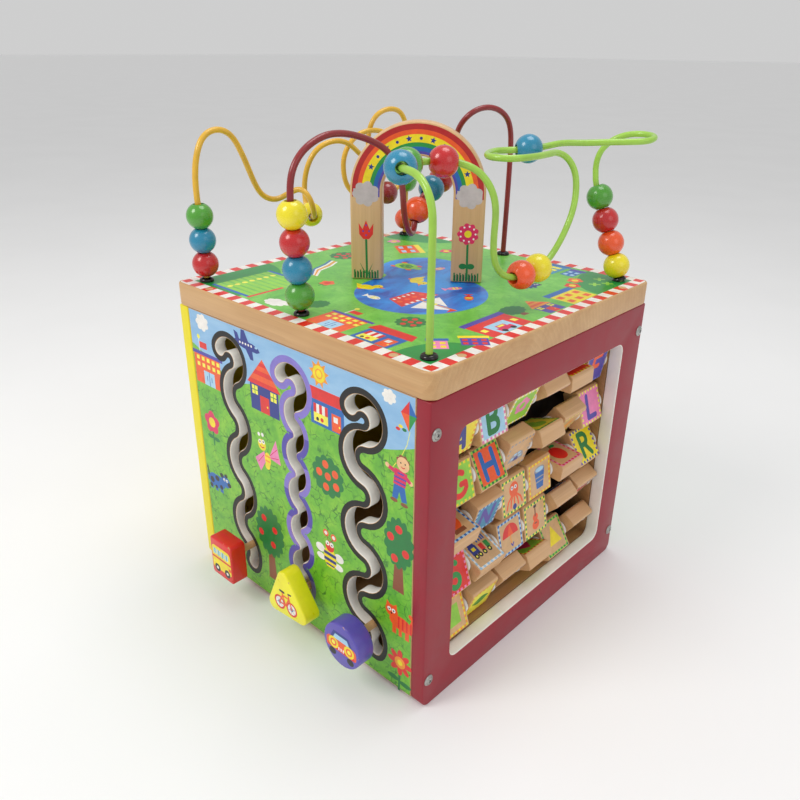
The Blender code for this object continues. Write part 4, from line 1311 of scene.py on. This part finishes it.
def make_rack():
    low, high = (RACK_LOW.y / MM, RACK_LOW.z / MM), (RACK_HIGH.y / MM, RACK_HIGH.z / MM)
    art = Art().paint("white", bar(*low, *high))
    art.cut(bar(-WINDOW_HALF_Y / MM, WINDOW_Z[0] / MM, WINDOW_HALF_Y / MM, WINDOW_Z[1] / MM))
    place = Matrix.Translation((RACK_HIGH.x, 0, 0)) @ TO_RIGHT
    mesh = board_mesh("rack_frame", art, RACK_HIGH.x - RACK_LOW.x, 0.8 * MM, place)
    add_piece("rack_frame", mesh, ("rack_wood",), slot="natural_wood", replaces=("tile_rack",))
    # A black sheet behind the tiles: painted shade standing for the dark hollow inside of the cube.
    shade_sheet_outline = Art().paint("white", bar(low[0], low[1], high[0], high[1]))
    place = Matrix.Translation((RACK_LOW.x - 0.3 * MM, 0, 0)) @ TO_RIGHT
    add_piece(
        "tile_shade_sheet", board_mesh("tile_shade_sheet", shade_sheet_outline, 3 * MM, 0.5 * MM, place),
        ("shade_sheet_black",),
    )

    end = WINDOW_HALF_Y / MM + 7
    rod = [
        (0, end), (ROD_R / MM - 0.4, end), (ROD_R / MM, end - 0.4), (ROD_R / MM, 0.4 - end),
        (ROD_R / MM - 0.4, -end), (0, -end),
    ]
    tile_half = TILE[1] / MM / 2 + 0.3
    columns = len(TILE_TILT_DEG[0])
    edges = [-WINDOW_HALF_Y / MM]
    for column in range(columns):
        edges += [column_y(column) / MM - tile_half, column_y(column) / MM + tile_half]
    edges.append(WINDOW_HALF_Y / MM)
    radius, bore = SPACER_R / MM, ROD_R / MM + 0.1
    for row in range(len(TILE_TILT_DEG)):
        place = Matrix.Translation((ROD_X, 0, row_z(row))) @ ALONG_Y
        bm = lathe_bmesh(rod, 24, closed=False)
        for start, stop in zip(edges[::2], edges[1::2]):
            start, stop = start + 0.1, stop - 0.1
            ring = [
                (bore, stop), (radius - 0.6, stop), (radius, stop - 0.6), (radius, start + 0.6),
                (radius - 0.6, start), (bore, start),
            ]
            lathe_bmesh(ring, 40, bm, material=1)
        add_piece(
            f"tile_rod_{row + 1}", finish_bmesh(f"tile_rod_{row + 1}", bm, place),
            ("dark_steel", "spacer"), slot="natural_wood",
        )


LETTERS = {
    "A": ([(-8, -12), (0, 12), (8, -12)], [(-5, -4), (5, -4)]),
    "B": (
        [(-7, -12), (-7, 12)], [(-7, 12)] + arc(0, 6.4, 5.6, 90, -90, 6) + [(-7, 0)],
        [(-7, 0)] + arc(1, -6.2, 5.8, 90, -90, 6) + [(-7, -12)],
    ),
    "C": (arc(1, 0, 11, 50, 310, 12),),
    "E": ([(7, 12), (-6, 12), (-6, -12), (7, -12)], [(-6, 0), (5, 0)]),
    "F": ([(8, 12), (-6, 12), (-6, -12)], [(-6, 0), (5, 0)]),
    "G": (arc(0, 0, 11, 50, 330, 13) + [(9.5, -1), (3, -1)],),
    "H": ([(-8, -12), (-8, 12)], [(8, -12), (8, 12)], [(-8, 0), (8, 0)]),
    "L": ([(-6, 12), (-6, -12), (8, -12)],),
    "N": ([(-8, -12), (-8, 12), (8, -12), (8, 12)],),
    "O": (arc(0, 0, 10.5, 0, 360, 20),),
    "R": ([(-7, -12), (-7, 12)], [(-7, 12)] + arc(0, 6, 6, 90, -90, 6) + [(-7, 0)], [(0, 0), (8, -12)]),
    "S": (arc(0, 6, 6.4, 40, 250, 9) + arc(0, -6.3, 6.4, 80, -140, 9),),
    "T": ([(-9, 12), (9, 12)], [(0, 12), (0, -12)]),
}


def draw_letter(art, letter, colour):
    for points in LETTERS[letter]:
        art.paint(colour, *stroke(points, 5.6))


def draw_igloo(art, _):
    art.paint("grey", [(-13, -9), (13, -9)] + arc(0, -9, 13, 0, 180, 14)[1:-1])
    art.paint(
        "light_blue",
        *[bar(x, y, x + 5, y + 3) for x, y in ((-9, -6), (-2.5, -6), (4, -6), (-6, -1), (1, -1))],
    )
    art.paint("navy", [(-4, -9), (4, -9)] + arc(0, -7, 4, 0, 180, 8))


def draw_mitt(art, _):
    art.paint("orange", lobed(0, 2, 10, 13, 3, 0.05), disc(-10, -2, 4, 6, 12))
    art.paint("brown", bar(-8, -14, 8, -9))


def draw_octopus(art, _):
    for x in (-9, -4.5, 0, 4.5, 9):
        art.paint("orange", *stroke([(x * 0.4, 0), (x * 1.2, -6), (x * 1.5, -13)], 2.4))
    art.paint("orange", disc(0, 6, 8, 8.6, 18))
    art.paint("white", disc(-3, 8, 2.4, sides=10), disc(3, 8, 2.4, sides=10))
    art.paint("navy", disc(-3, 8, 1, sides=8), disc(3, 8, 1, sides=8), disc(0, -14, 3.4, sides=12))


def draw_pail(art, _):
    art.paint("grey", disc(0, 10, 9.5, 4, 18)).paint("light_blue", disc(0, 10, 7.6, 2.6, 16))
    art.paint("blue", [(-9.5, 10), (-6, -12), (6, -12), (9.5, 10), (7, 7), (-7, 7)])
    art.paint("grey", bar(-7.6, 0, 7.6, 1.6), bar(-7, -5, 7, -3.4))


def draw_melon(art, _):
    art.paint("green", disc(0, 2, 14, 12, 22))
    art.paint("red", disc(0, 4, 11, 9, 20))
    art.paint("black", *[disc(x, y, 1, sides=7) for x, y in ((-5, 3), (0, 6), (5, 2), (-1, -1))])


def draw_train(art, _):
    art.paint("navy", bar(-14, -4, -3, 6), bar(-13, 6, -4, 11))
    art.paint("yellow", bar(-11, 0, -6, 4))
    art.paint("red", bar(0, -4, 6, 4))
    art.paint("leaf", bar(8, -4, 14, 4)).paint("black", *[disc(x, -6, 3, sides=12) for x in (-11, -5, 2, 10)])
    art.paint("lemon", *[disc(x, -6, 1.3, sides=8) for x in (-11, -5, 2, 10)])
    art.paint("blue", *[bar(x, 6, x + 2, 12) for x in (1, 5, 9, 12)])


def draw_umbrella(art, _):
    art.paint("red", [(-14, 0), (14, 0)] + arc(0, 0, 14, 0, 180, 14)[1:-1])
    art.paint("orange", [(-5, 0), (5, 0), (0, 13.6)])
    art.paint("amber", bar(-0.8, -10, 0.8, 0)).paint("purple", *stroke([(0, -10), (2, -13), (4, -10)], 1.8))


def draw_violin(art, _):
    art.paint("orange", disc(0, -8, 6.6, 6, 16), disc(0, 1, 5, 4.6, 14))
    art.paint("brown", bar(-1.2, 2, 1.2, 15), bar(-2.4, -7, 2.4, -5.4))
    art.paint("black", bar(-2.6, 13, 2.6, 16))


def draw_triangle(art, _):
    art.paint("yellow", [(-12, -9), (12, -9), (0, 13)])


def draw_square(art, _):
    art.paint("lime", bar(-11, -11, 11, 11))


def draw_apple(art, _):
    art.paint("red", lobed(0, -1, 12, 11, 2, 0.06, 24))
    art.paint("brown", *stroke([(0, 9), (2, 14)], 1.8))
    art.paint("leaf", disc(6, 12, 4.6, 2.2, 12))


def draw_ball(art, _):
    art.paint("blue", disc(0, 0, 12))
    art.paint("yellow", disc(0, 0, 12, 4, 20))
    art.paint("red", disc(0, 0, 4.4, 4, 14))


def draw_heart(art, _):
    art.paint(
        "crimson", disc(-5.4, 4, 6.6, sides=18), disc(5.4, 4, 6.6, sides=18),
        [(-11.4, 1), (0, -13), (11.4, 1), (0, 6)],
    )


def draw_leaf(art, _):
    art.paint(
        "leaf",
        [(x, 7 * math.cos(math.pi * x / 28)) for x in range(-14, 15, 2)] + [
            (x, -7 * math.cos(math.pi * x / 28))
            for x in range(12, -13, -2)
        ],
    )
    art.paint("lime", *stroke([(-12, 0), (12, 0)], 1.2))


def draw_pear(art, _):
    art.paint("lime", disc(0, -5, 9.6, 8.4, 18), disc(0, 5, 5.8, 6.6, 16))
    art.paint("brown", *stroke([(0, 11), (1, 15)], 1.6))


def draw_blossom(art, _):
    art.paint("pink", lobed(0, 3, 12, 11, 5, 0.16, 50, math.pi / 4))
    art.paint("lime", disc(0, 3, 4.2, sides=14), *stroke([(0, -7), (0, -14)], 2))


def draw_star(art, _):
    art.paint("amber", star(0, 0, 14, 6, 5))


def draw_small_fish(art, _):
    draw_fish(art, "orange")


# Each tile's front from -Y to +Y: what is drawn, its colour, the ground and the two border colours
TILE_FRONTS = (
    (("A", "navy", "yellow", "lemon", "amber"), ("B", "green", "light_blue", "pink", "white"),
     (draw_blossom, "", "lime", "lemon", "white"), (draw_apple, "", "bare_wood", "pink", "white"),
     (draw_melon, "", "red", "yellow", "red"), ("F", "orange", "purple", "blue", "lilac")),
    (("G", "red", "lime", "yellow", "lime"), ("H", "blue", "orange", "lime", "green"),
     (draw_igloo, "", "bare_wood", "grey", "bare_wood"), (draw_pear, "", "lemon", "leaf", "lime"),
     (draw_star, "", "bare_wood", "lemon", "bare_wood"), ("L", "purple", "pink", "lemon", "pink")),
    ((draw_mitt, "", "bare_wood", "blue", "light_blue"), ("N", "purple", "teal", "blue", "light_blue"),
     (draw_octopus, "", "bare_wood", "leaf", "lemon"), (draw_pail, "", "bare_wood", "yellow", "amber"),
     (draw_apple, "", "bare_wood", "pink", "crimson"), ("R", "green", "yellow", "purple", "lemon")),
    (("S", "leaf", "red", "pink", "red"), (draw_train, "", "bare_wood", "light_blue", "white"),
     (draw_umbrella, "", "bare_wood", "blue", "light_blue"), (draw_violin, "", "bare_wood", "leaf", "lemon"),
     (draw_ball, "", "bare_wood", "red", "white"), (draw_heart, "", "bare_wood", "purple", "white")),
    ((draw_square, "", "bare_wood", "yellow", "amber"), (draw_leaf, "", "lemon", "yellow", "amber"),
     (draw_small_fish, "", "bare_wood", "blue", "white"), (draw_heart, "", "lime", "red", "lemon"),
     (draw_triangle, "", "bare_wood", "leaf", "lime"), (draw_leaf, "", "bare_wood", "leaf", "white")),
)
BACK_LETTERS = "CTEORSLHNBACETGOF"
BACK_PICTURES = (draw_star, draw_ball, draw_apple, draw_pear, draw_heart, draw_blossom, draw_leaf)


def tile_art(subject, colour, ground, first, second):
    half_y, half_z = TILE[1] / MM / 2 - 1.7, TILE[2] / MM / 2 - 2.2
    art = Art()
    check_border(art, half_y, half_z, 2.4, 2.9, (first, second))
    art.paint(ground, bar(-half_y + 2.4, -half_z + 2.4, half_y - 2.4, half_z - 2.4))
    if isinstance(subject, str):
        draw_letter(art, subject, colour)
    else:
        subject(art.at(size=0.95), colour)
    art.at()
    return art


def tile_outline():
    """End outline of a tile with broken corners, as (x, z) points."""
    half_x, half_z, cut = TILE[0] / MM / 2, TILE[2] / MM / 2, 2
    outline = []
    for sign_x, sign_z in ((1, 1), (-1, 1), (-1, -1), (1, -1)):
        corner = [(sign_x * half_x, sign_z * (half_z - cut)), (sign_x * (half_x - cut), sign_z * half_z)]
        outline += corner if sign_x * sign_z > 0 else corner[::-1]
    return outline


def make_tiles():
    letters = 0
    pictures = 0
    for row, tilts in enumerate(TILE_TILT_DEG):
        for column, tilt in enumerate(tilts):
            name = f"tile_r{row + 1}c{column + 1}"
            centre = Matrix.Translation((ROD_X, column_y(column), row_z(row)))
            turn = centre @ Matrix.Rotation(math.radians(-tilt), 4, "Y")
            art = Art().paint("white", tile_outline()).cut(disc(0, 0, TILE_BORE_R / MM, sides=32))
            mesh = board_mesh(
                f"{name}_block", art, TILE[1], 0.9 * MM,
                turn @ Matrix.Translation((0, -TILE[1] / 2, 0)) @ TO_FRONT,
            )
            add_piece(f"{name}_block", mesh, ("tile_wood",), name, "tile_wood", (name,), 30)
            front = TILE_FRONTS[row][column]
            if isinstance(front[0], str):
                back = (BACK_PICTURES[pictures % len(BACK_PICTURES)], "", "bare_wood", front[3], front[4])
                pictures += 1
            else:
                back = (BACK_LETTERS[letters % len(BACK_LETTERS)],
                ("red", "blue", "green", "purple", "orange")[letters % 5],
                        ("yellow", "light_blue", "lemon", "pink")[letters % 4], front[3], front[4])
                letters += 1
            half_x = TILE[0] / 2
            print_sheet(
                f"{name}_front", tile_art(*front), turn @ Matrix.Translation((half_x, 0, 0)) @ TO_RIGHT,
                name, "tile_wood",
            )
            print_sheet(
                f"{name}_back", tile_art(*back), turn @ Matrix.Translation((-half_x, 0, 0)) @ TO_LEFT,
                name, "tile_wood",
            )


# ---------------------------------------------------------------- knobs


def knob_outline(name):
    if name == "bus":
        return rounded_rectangle((-19, -24), (19, 24), [4] * 4)
    if name == "car":
        return disc(0, 0, 24, sides=72)
    outline = []
    for angle in (96, 216, 336):
        x, y = 24 * math.cos(math.radians(angle)), 24 * math.sin(math.radians(angle))
        outline += arc(x, y, 9, angle - 60, angle + 60, 12)
    return outline


def bus_art():
    art = Art()
    art.paint("yellow", rounded_rectangle((-16.5, -15), (16.5, 15), [3, 3, 5, 5], 5))
    art.paint("red", bar(-16.5, -1.5, 16.5, 1))
    art.paint("light_blue", *[bar(x, 3.6, x + 5.6, 11) for x in (-14, -7, 0, 7)])
    art.paint("leaf", *[bar(x + 2.4, 3.6, x + 3.4, 11) for x in (-14, -7, 0, 7)])
    art.paint("black", disc(-9, -14, 5, sides=20), disc(9, -14, 5, sides=20))
    art.paint("white", disc(-9, -14, 2, sides=12), disc(9, -14, 2, sides=12))
    art.paint("orange", bar(12, -9, 16.4, -5)).paint("lemon", disc(-14, -7, 1.6, sides=10))
    return art


def bicycle_art():
    art = Art()
    for x in (-9.5, 9.5):
        art.paint("red", disc(x, -7, 8.4))
        art.paint("white", disc(x, -7, 6.2))
        art.paint("blue", disc(x, -7, 2.4, sides=14))
        for angle in (20, 80, 140):
            across, up = 6 * math.cos(math.radians(angle)), 6 * math.sin(math.radians(angle))
            art.paint("grey", *stroke([(x - across, -7 - up), (x + across, -7 + up)], 0.5))
    art.paint(
        "orange", *stroke([(-9.5, -7), (-4, 4), (6, 4), (0, -7), (-9.5, -7)], 2),
        *stroke([(9.5, -7), (6, 4), (5, 10)], 2), *stroke([(0, -7), (-4, 4), (-5, 8)], 2),
    )
    art.paint("black", *stroke([(-8, 8.4), (-2, 8.4)], 2.6), *stroke([(5, 10), (9, 10.6)], 2))
    return art


def car_art():
    art = Art()
    art.paint("navy", [(-15, 4), (-10, 14), (10, 14), (15, 4)])
    art.paint("light_blue", [(-11, 5), (-8, 11), (8, 11), (11, 5)])
    art.paint("orange", rounded_rectangle((-20, -8), (20, 5), [3, 3, 5, 5], 5))
    art.paint("red", bar(-18, -8, 18, -5))
    for x in (-10.5, 10.5):
        art.paint("yellow", disc(x, -1, 6.6))
        art.paint("orange", disc(x, -1, 4.2))
        art.paint("lemon", disc(x, -1, 2.4, sides=14))
    art.paint("white", *[bar(x, -6.6, x + 1.6, -3) for x in (-4, -1, 2)])
    art.paint("black", disc(-12, -12, 4.6, 4, 16), disc(12, -12, 4.6, 4, 16))
    return art


KNOB_ART = {"bus": bus_art, "bicycle": bicycle_art, "car": car_art}
KNOB_PAINT = {
    "bus": ("knob_red", "red_knob"), "bicycle": ("knob_yellow", "yellow_knob"),
    "car": ("knob_purple", "purple_knob"),
}


def make_knobs():
    inside = TRACK_HIGH.y / MM + 1
    for name in TRACKS:
        x, z, front = KNOB_AT[name]
        body = f"{name}_knob"
        material, slot = KNOB_PAINT[name]
        place = Matrix.Translation((x * MM, front * MM, z * MM)) @ TO_FRONT
        mesh = board_mesh(
            f"{body}_block", Art().paint("white", knob_outline(name)), KNOB_THICK * MM, 1.6 * MM, place,
        )
        add_piece(f"{body}_block", mesh, (material,), body, slot, (body,))
        print_sheet(f"{body}_print", KNOB_ART[name](), place, body, slot)
        stem = [(0, front + KNOB_THICK - 2), (STEM_R, front + KNOB_THICK - 2), (STEM_R, inside + 0.5)]
        stem += [
            (RETAINER_R - 0.8, inside), (RETAINER_R, inside + 0.8),
            (RETAINER_R, inside + RETAINER_THICK - 0.8),
        ]
        stem += [(RETAINER_R - 0.8, inside + RETAINER_THICK), (0, inside + RETAINER_THICK)]
        bm = lathe_bmesh(stem, 32, closed=False)
        mesh = finish_bmesh(f"{body}_stem", bm, Matrix.Translation((x * MM, 0, z * MM)) @ ALONG_Y)
        add_piece(f"{body}_stem", mesh, ("stem_wood",), body)


# ---------------------------------------------------------------- rainbow arch


ARCH_EDGE = 2.2


def half_ring(outer, inner, low):
    """An arch-shaped band with straight legs down to a height."""
    outline = [(-inner, low), (-outer, low)] + arc(0, ARCH_SPRING_Z, outer, 180, 0, 60)
    return outline + [(outer, low), (inner, low)] + arc(0, ARCH_SPRING_Z, inner, 0, 180, 44)


def arch_art(flip):
    art = Art()
    radius = ARCH_OUTER_R - ARCH_EDGE
    for colour, width in (
        ("deep_red", 5.2), ("orange", 4.4), ("yellow", 7.4), ("leaf", 4.0), ("blue", 4.0),
        ("purple", 2.5),
    ):
        inner = radius - width
        art.paint(colour, half_ring(radius, inner, 84))
        radius = inner
    middle = ARCH_OUTER_R - ARCH_EDGE - 9.6 - 3.7
    for i, angle in enumerate(range(22, 164, 13)):
        x, y = middle * math.cos(math.radians(angle)), ARCH_SPRING_Z + middle * math.sin(math.radians(angle))
        art.paint("navy", star(x, y, 3.3, 1.5, 5, angle) if i % 2 == 0 else disc(x, y, 1.5, sides=12))
    leg = (ARCH_OUTER_R + ARCH_INNER_R) / 2
    wide = (ARCH_OUTER_R - ARCH_INNER_R) / 2 - ARCH_EDGE - 0.2
    for side in (-1, 1):
        art.at(side * leg, 0)
        art.paint("cloud_grey", lobed(0, 87, wide, 12.5, 7, 0.11), bar(-wide + 1.2, 84, wide - 1.2, 92))
        art.paint("green", *[bar(x, 1.5, x + 1.5, 9 + 1.2 * (x % 2)) for x in range(-13, 13, 3)])
        art.paint("black", *[bar(x + 1.5, 1.5, x + 2.2, 8) for x in range(-13, 11, 3)])
        art.paint("green", *stroke([(0, 42), (0.6, 4)], 2.2))
        if side * (-1 if flip else 1) < 0:
            art.paint("green", [(-7, 18), (-1, 8), (0, 5), (-3, 9)], [(7, 18), (2, 8), (1, 4), (4, 10)])
            art.paint(
                "red",
                [(-7.5, 58), (-7, 47), (-3, 42), (3, 42), (7, 47), (7.5, 58), (3.6, 52), (0, 61), (-3.6, 52)],
            )
            art.paint(
                "purple", disc(-3, 50, 1, sides=8), disc(3, 50, 1, sides=8), disc(0, 56, 0.9, sides=8),
                disc(0, 46, 0.9, sides=8),
            )
        else:
            art.paint("green", disc(-4, 17, 4, 3, 14), disc(4, 17, 4, 3, 14))
            art.paint("crimson", lobed(0, 50, 11, 11, 9, 0.1, 54))
            for i in range(9):
                angle = math.tau * i / 9
                art.paint("white", disc(7.6 * math.cos(angle), 50 + 7.6 * math.sin(angle), 1.0, sides=8))
            art.paint("yellow", disc(0, 50, 3.6, sides=16))
    art.at()
    return art


def make_arch():
    place = Matrix.Translation(ARCH_FRONT) @ Matrix.Rotation(ARCH_TURN, 4, "Z")
    outline = half_ring(ARCH_OUTER_R, ARCH_INNER_R, 0)
    mesh = board_mesh(
        "arch_board", Art().paint("white", outline), ARCH_THICK * MM, 2.2 * MM, place @ TO_FRONT,
    )
    add_piece("arch_board", mesh, ("arch_wood",), slot="natural_wood", replaces=("rainbow_arch",))
    print_sheet("arch_front_print", arch_art(False), place @ TO_FRONT, slot="natural_wood")
    back = place @ Matrix.Translation((0, ARCH_THICK * MM, 0)) @ TO_BACK
    print_sheet("arch_back_print", arch_art(True), back, slot="natural_wood")


# ---------------------------------------------------------------- bead maze


def smooth_route(name):
    """A natural cubic spline through a wire's points, as a function of the point number."""
    points = np.array(WIRE_ROUTES[name], float) * MM + np.array([0, 0, TOP_Z])
    steps = np.linalg.norm(np.diff(points, axis=0), axis=1)
    count = len(points)
    system = np.zeros((count, count))
    wanted = np.zeros((count, 3))
    system[0, 0] = system[-1, -1] = 1
    for i in range(1, count - 1):
        before, after = steps[i - 1], steps[i]
        system[i, i - 1 : i + 2] = before, 2 * (before + after), after
        wanted[i] = 6 * ((points[i + 1] - points[i]) / after - (points[i] - points[i - 1]) / before)
    bend = np.linalg.solve(system, wanted)

    def at(number):
        i = min(int(number), count - 2)
        span = steps[i]
        distance = (number - i) * span
        left, right = span - distance, distance
        value = (bend[i] * left**3 + bend[i + 1] * right**3) / (6 * span)
        value = value + (points[i] / span - bend[i] * span / 6) * left
        return Vector(value + (points[i + 1] / span - bend[i + 1] * span / 6) * right)

    return at, count


def make_wires():
    for name in WIRE_ROUTES:
        at, count = smooth_route(name)
        points = [at(i / 6) for i in range((count - 1) * 6 + 1)]
        points.insert(0, points[0] - (points[1] - points[0]).normalized() * SOCKET_DEPTH)
        points.append(points[-1] + (points[-1] - points[-2]).normalized() * SOCKET_DEPTH)
        curve = bpy.data.curves.new(f"{name}_sleeve", "CURVE")
        curve.dimensions = "3D"
        curve.bevel_depth = WIRE_R
        curve.bevel_resolution = 6
        curve.use_fill_caps = True
        spline = curve.splines.new("POLY")
        spline.points.add(len(points) - 1)
        for point, place in zip(spline.points, points):
            point.co = (*place, 1)
        spline.use_smooth = True
        curve.materials.append(MATERIAL[name])
        piece = bpy.data.objects.new(f"{name}_sleeve", curve)
        bpy.context.scene.collection.objects.link(piece)
        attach(piece, ROOT)
        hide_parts(name)


def make_grommets():
    """A shiny black dome where each wire goes into the board."""
    profile = [(3.15, 0), (7.2, 0)] + arc(4.6, 1.0, 2.7, -10, 80, 8) + [(3.6, 4.1), (3.15, 3.6)]
    for name, route in WIRE_ROUTES.items():
        for end, (foot, inner) in enumerate(((route[0], route[1]), (route[-1], route[-2]))):
            lean = (Vector(inner) - Vector(foot)).normalized()
            place = Matrix.Translation(Vector(foot) * MM + Vector((0, 0, TOP_Z))) @ aimed(lean)
            piece_name = f"{name}_grommet_{end + 1}"
            mesh = finish_bmesh(piece_name, lathe_bmesh(profile, 48), place)
            add_piece(piece_name, mesh, ("grommet",))


def bead_profile():
    """Section of one bead: a round outside, softened rims and a straight bore."""
    half = BEAD_PITCH / 2 - 0.04
    reach = math.degrees(math.asin(half / BEAD_R))
    outside = arc(0, 0, BEAD_R, reach - 2, -reach + 2, 26)
    top = [(BEAD_BORE_R, half - 0.7), (BEAD_BORE_R + 0.25, half - 0.15)]
    bottom = [(BEAD_BORE_R + 0.25, 0.15 - half), (BEAD_BORE_R, 0.7 - half)]
    return top + outside + bottom


def bead_place(wire, middle, count):
    """Centre and axis of a row of beads threaded on a wire nearest to a point."""
    at, total = smooth_route(wire)
    wanted = Vector(middle) * MM + Vector((0, 0, TOP_Z))
    number = min((i / 20 for i in range((total - 1) * 20 + 1)), key=lambda n: (at(n) - wanted).length)
    reach = ((count - 1) / 2 * BEAD_PITCH + math.sqrt(BEAD_R**2 - BEAD_BORE_R**2)) * MM
    ends = []
    for sign in (-1, 1):
        step = 0.0
        while (at(number + sign * step) - at(number)).length < reach:
            step += 0.002
        ends.append(at(number + sign * step))
    return (at(number) + (ends[0] + ends[1]) / 2) / 2, (ends[1] - ends[0]).normalized()


BEAD_SLOTS = {
    "left_front_stack": "bead_red", "middle_front_stack": "bead_yellow", "right_back_stack": "bead_green",
    "blue_red_pair": "bead_blue", "orange_yellow_pair": "bead_orange",
}


def make_beads():
    profile = bead_profile()
    for wire, beads in BEADS.items():
        for name, middle, colours in beads:
            centre, axis = bead_place(wire, middle, len(colours))
            bm = bmesh.new()
            for i in range(len(colours)):
                lathe_bmesh(profile, 56, bm, i, move=(i - (len(colours) - 1) / 2) * BEAD_PITCH)
            mesh = finish_bmesh(f"{name}_beads", bm, Matrix.Translation(centre) @ aimed(axis))
            slot = BEAD_SLOTS.get(name, f"bead_{colours[0]}")
            add_piece(
                f"{name}_beads", mesh, [f"bead_{colour}" for colour in colours], name, slot, (name,),
                40,
            )


# ---------------------------------------------------------------- camera, light and floor


CAMERA_PLACE = Vector((0.50586, -0.56543, 0.56125))
CAMERA_TARGET = Vector((-0.04864, 0.03076, 0.17774))
CAMERA_ROLL = math.radians(0.5626)
CAMERA_LENS = 33.849


def make_camera():
    data = bpy.data.cameras.new("camera")
    data.lens = CAMERA_LENS
    data.clip_start = 0.01
    camera = bpy.data.objects.new("camera", data)
    bpy.context.scene.collection.objects.link(camera)
    look = (CAMERA_TARGET - CAMERA_PLACE).to_track_quat("-Z", "Y").to_matrix().to_4x4()
    camera.matrix_world = Matrix.Translation(CAMERA_PLACE) @ look @ Matrix.Rotation(CAMERA_ROLL, 4, "Z")
    bpy.context.scene.camera = camera


def make_lamp(name, place, target, size, power, warmth=(1, 1, 1)):
    data = bpy.data.lights.new(name, "AREA")
    data.shape = "DISK"
    data.size = size
    data.energy = power
    data.color = warmth
    lamp = bpy.data.objects.new(name, data)
    bpy.context.scene.collection.objects.link(lamp)
    look = (Vector(target) - Vector(place)).to_track_quat("-Z", "Y").to_matrix().to_4x4()
    lamp.matrix_world = Matrix.Translation(place) @ look


def make_studio():
    world = bpy.data.worlds.new("studio")
    world.use_nodes = True
    background = world.node_tree.nodes["Background"]
    background.inputs["Color"].default_value = (1, 1, 1, 1)
    background.inputs["Strength"].default_value = 0.62
    bpy.context.scene.world = world
    make_lamp("key", (-0.5, -1.5, 1.7), (0, 0, 0.2), 0.9, 15, (1, 0.98, 0.95))
    make_lamp("fill", (1.7, -0.2, 1.1), (0, 0, 0.2), 1.2, 3)
    make_lamp("above", (0.1, 0.3, 2.0), (0, 0, 0.3), 1.0, 9)
    bpy.context.scene.view_settings.view_transform = "Standard"

    mesh = bpy.data.meshes.new("floor")
    bm = bmesh.new()
    bmesh.ops.create_grid(bm, x_segments=2, y_segments=2, size=40)
    bm.to_mesh(mesh)
    bm.free()
    floor = bpy.data.objects.new("floor", mesh)
    bpy.context.scene.collection.objects.link(floor)
    s = Surface("floor_paper")
    cloud = s.noise(3, 3, 0.5)
    tone = s.mix(s.spread(cloud, 0.3, 0.7), (0.92, 0.92, 0.92), (0.94, 0.94, 0.94))
    mesh.materials.append(
        s.finish(tone, s.noise(400, 2, 0.5), 0.05, 0.0002, s.spread(cloud, 0.2, 0.8, 0.75, 0.85))
    )


def main():
    make_camera()
    make_studio()
    make_top_board()
    make_side_panels()
    make_track_panel()
    make_back_panel()
    make_base()
    make_rack()
    make_tiles()
    make_knobs()
    make_arch()
    make_wires()
    make_grommets()
    make_beads()


main()
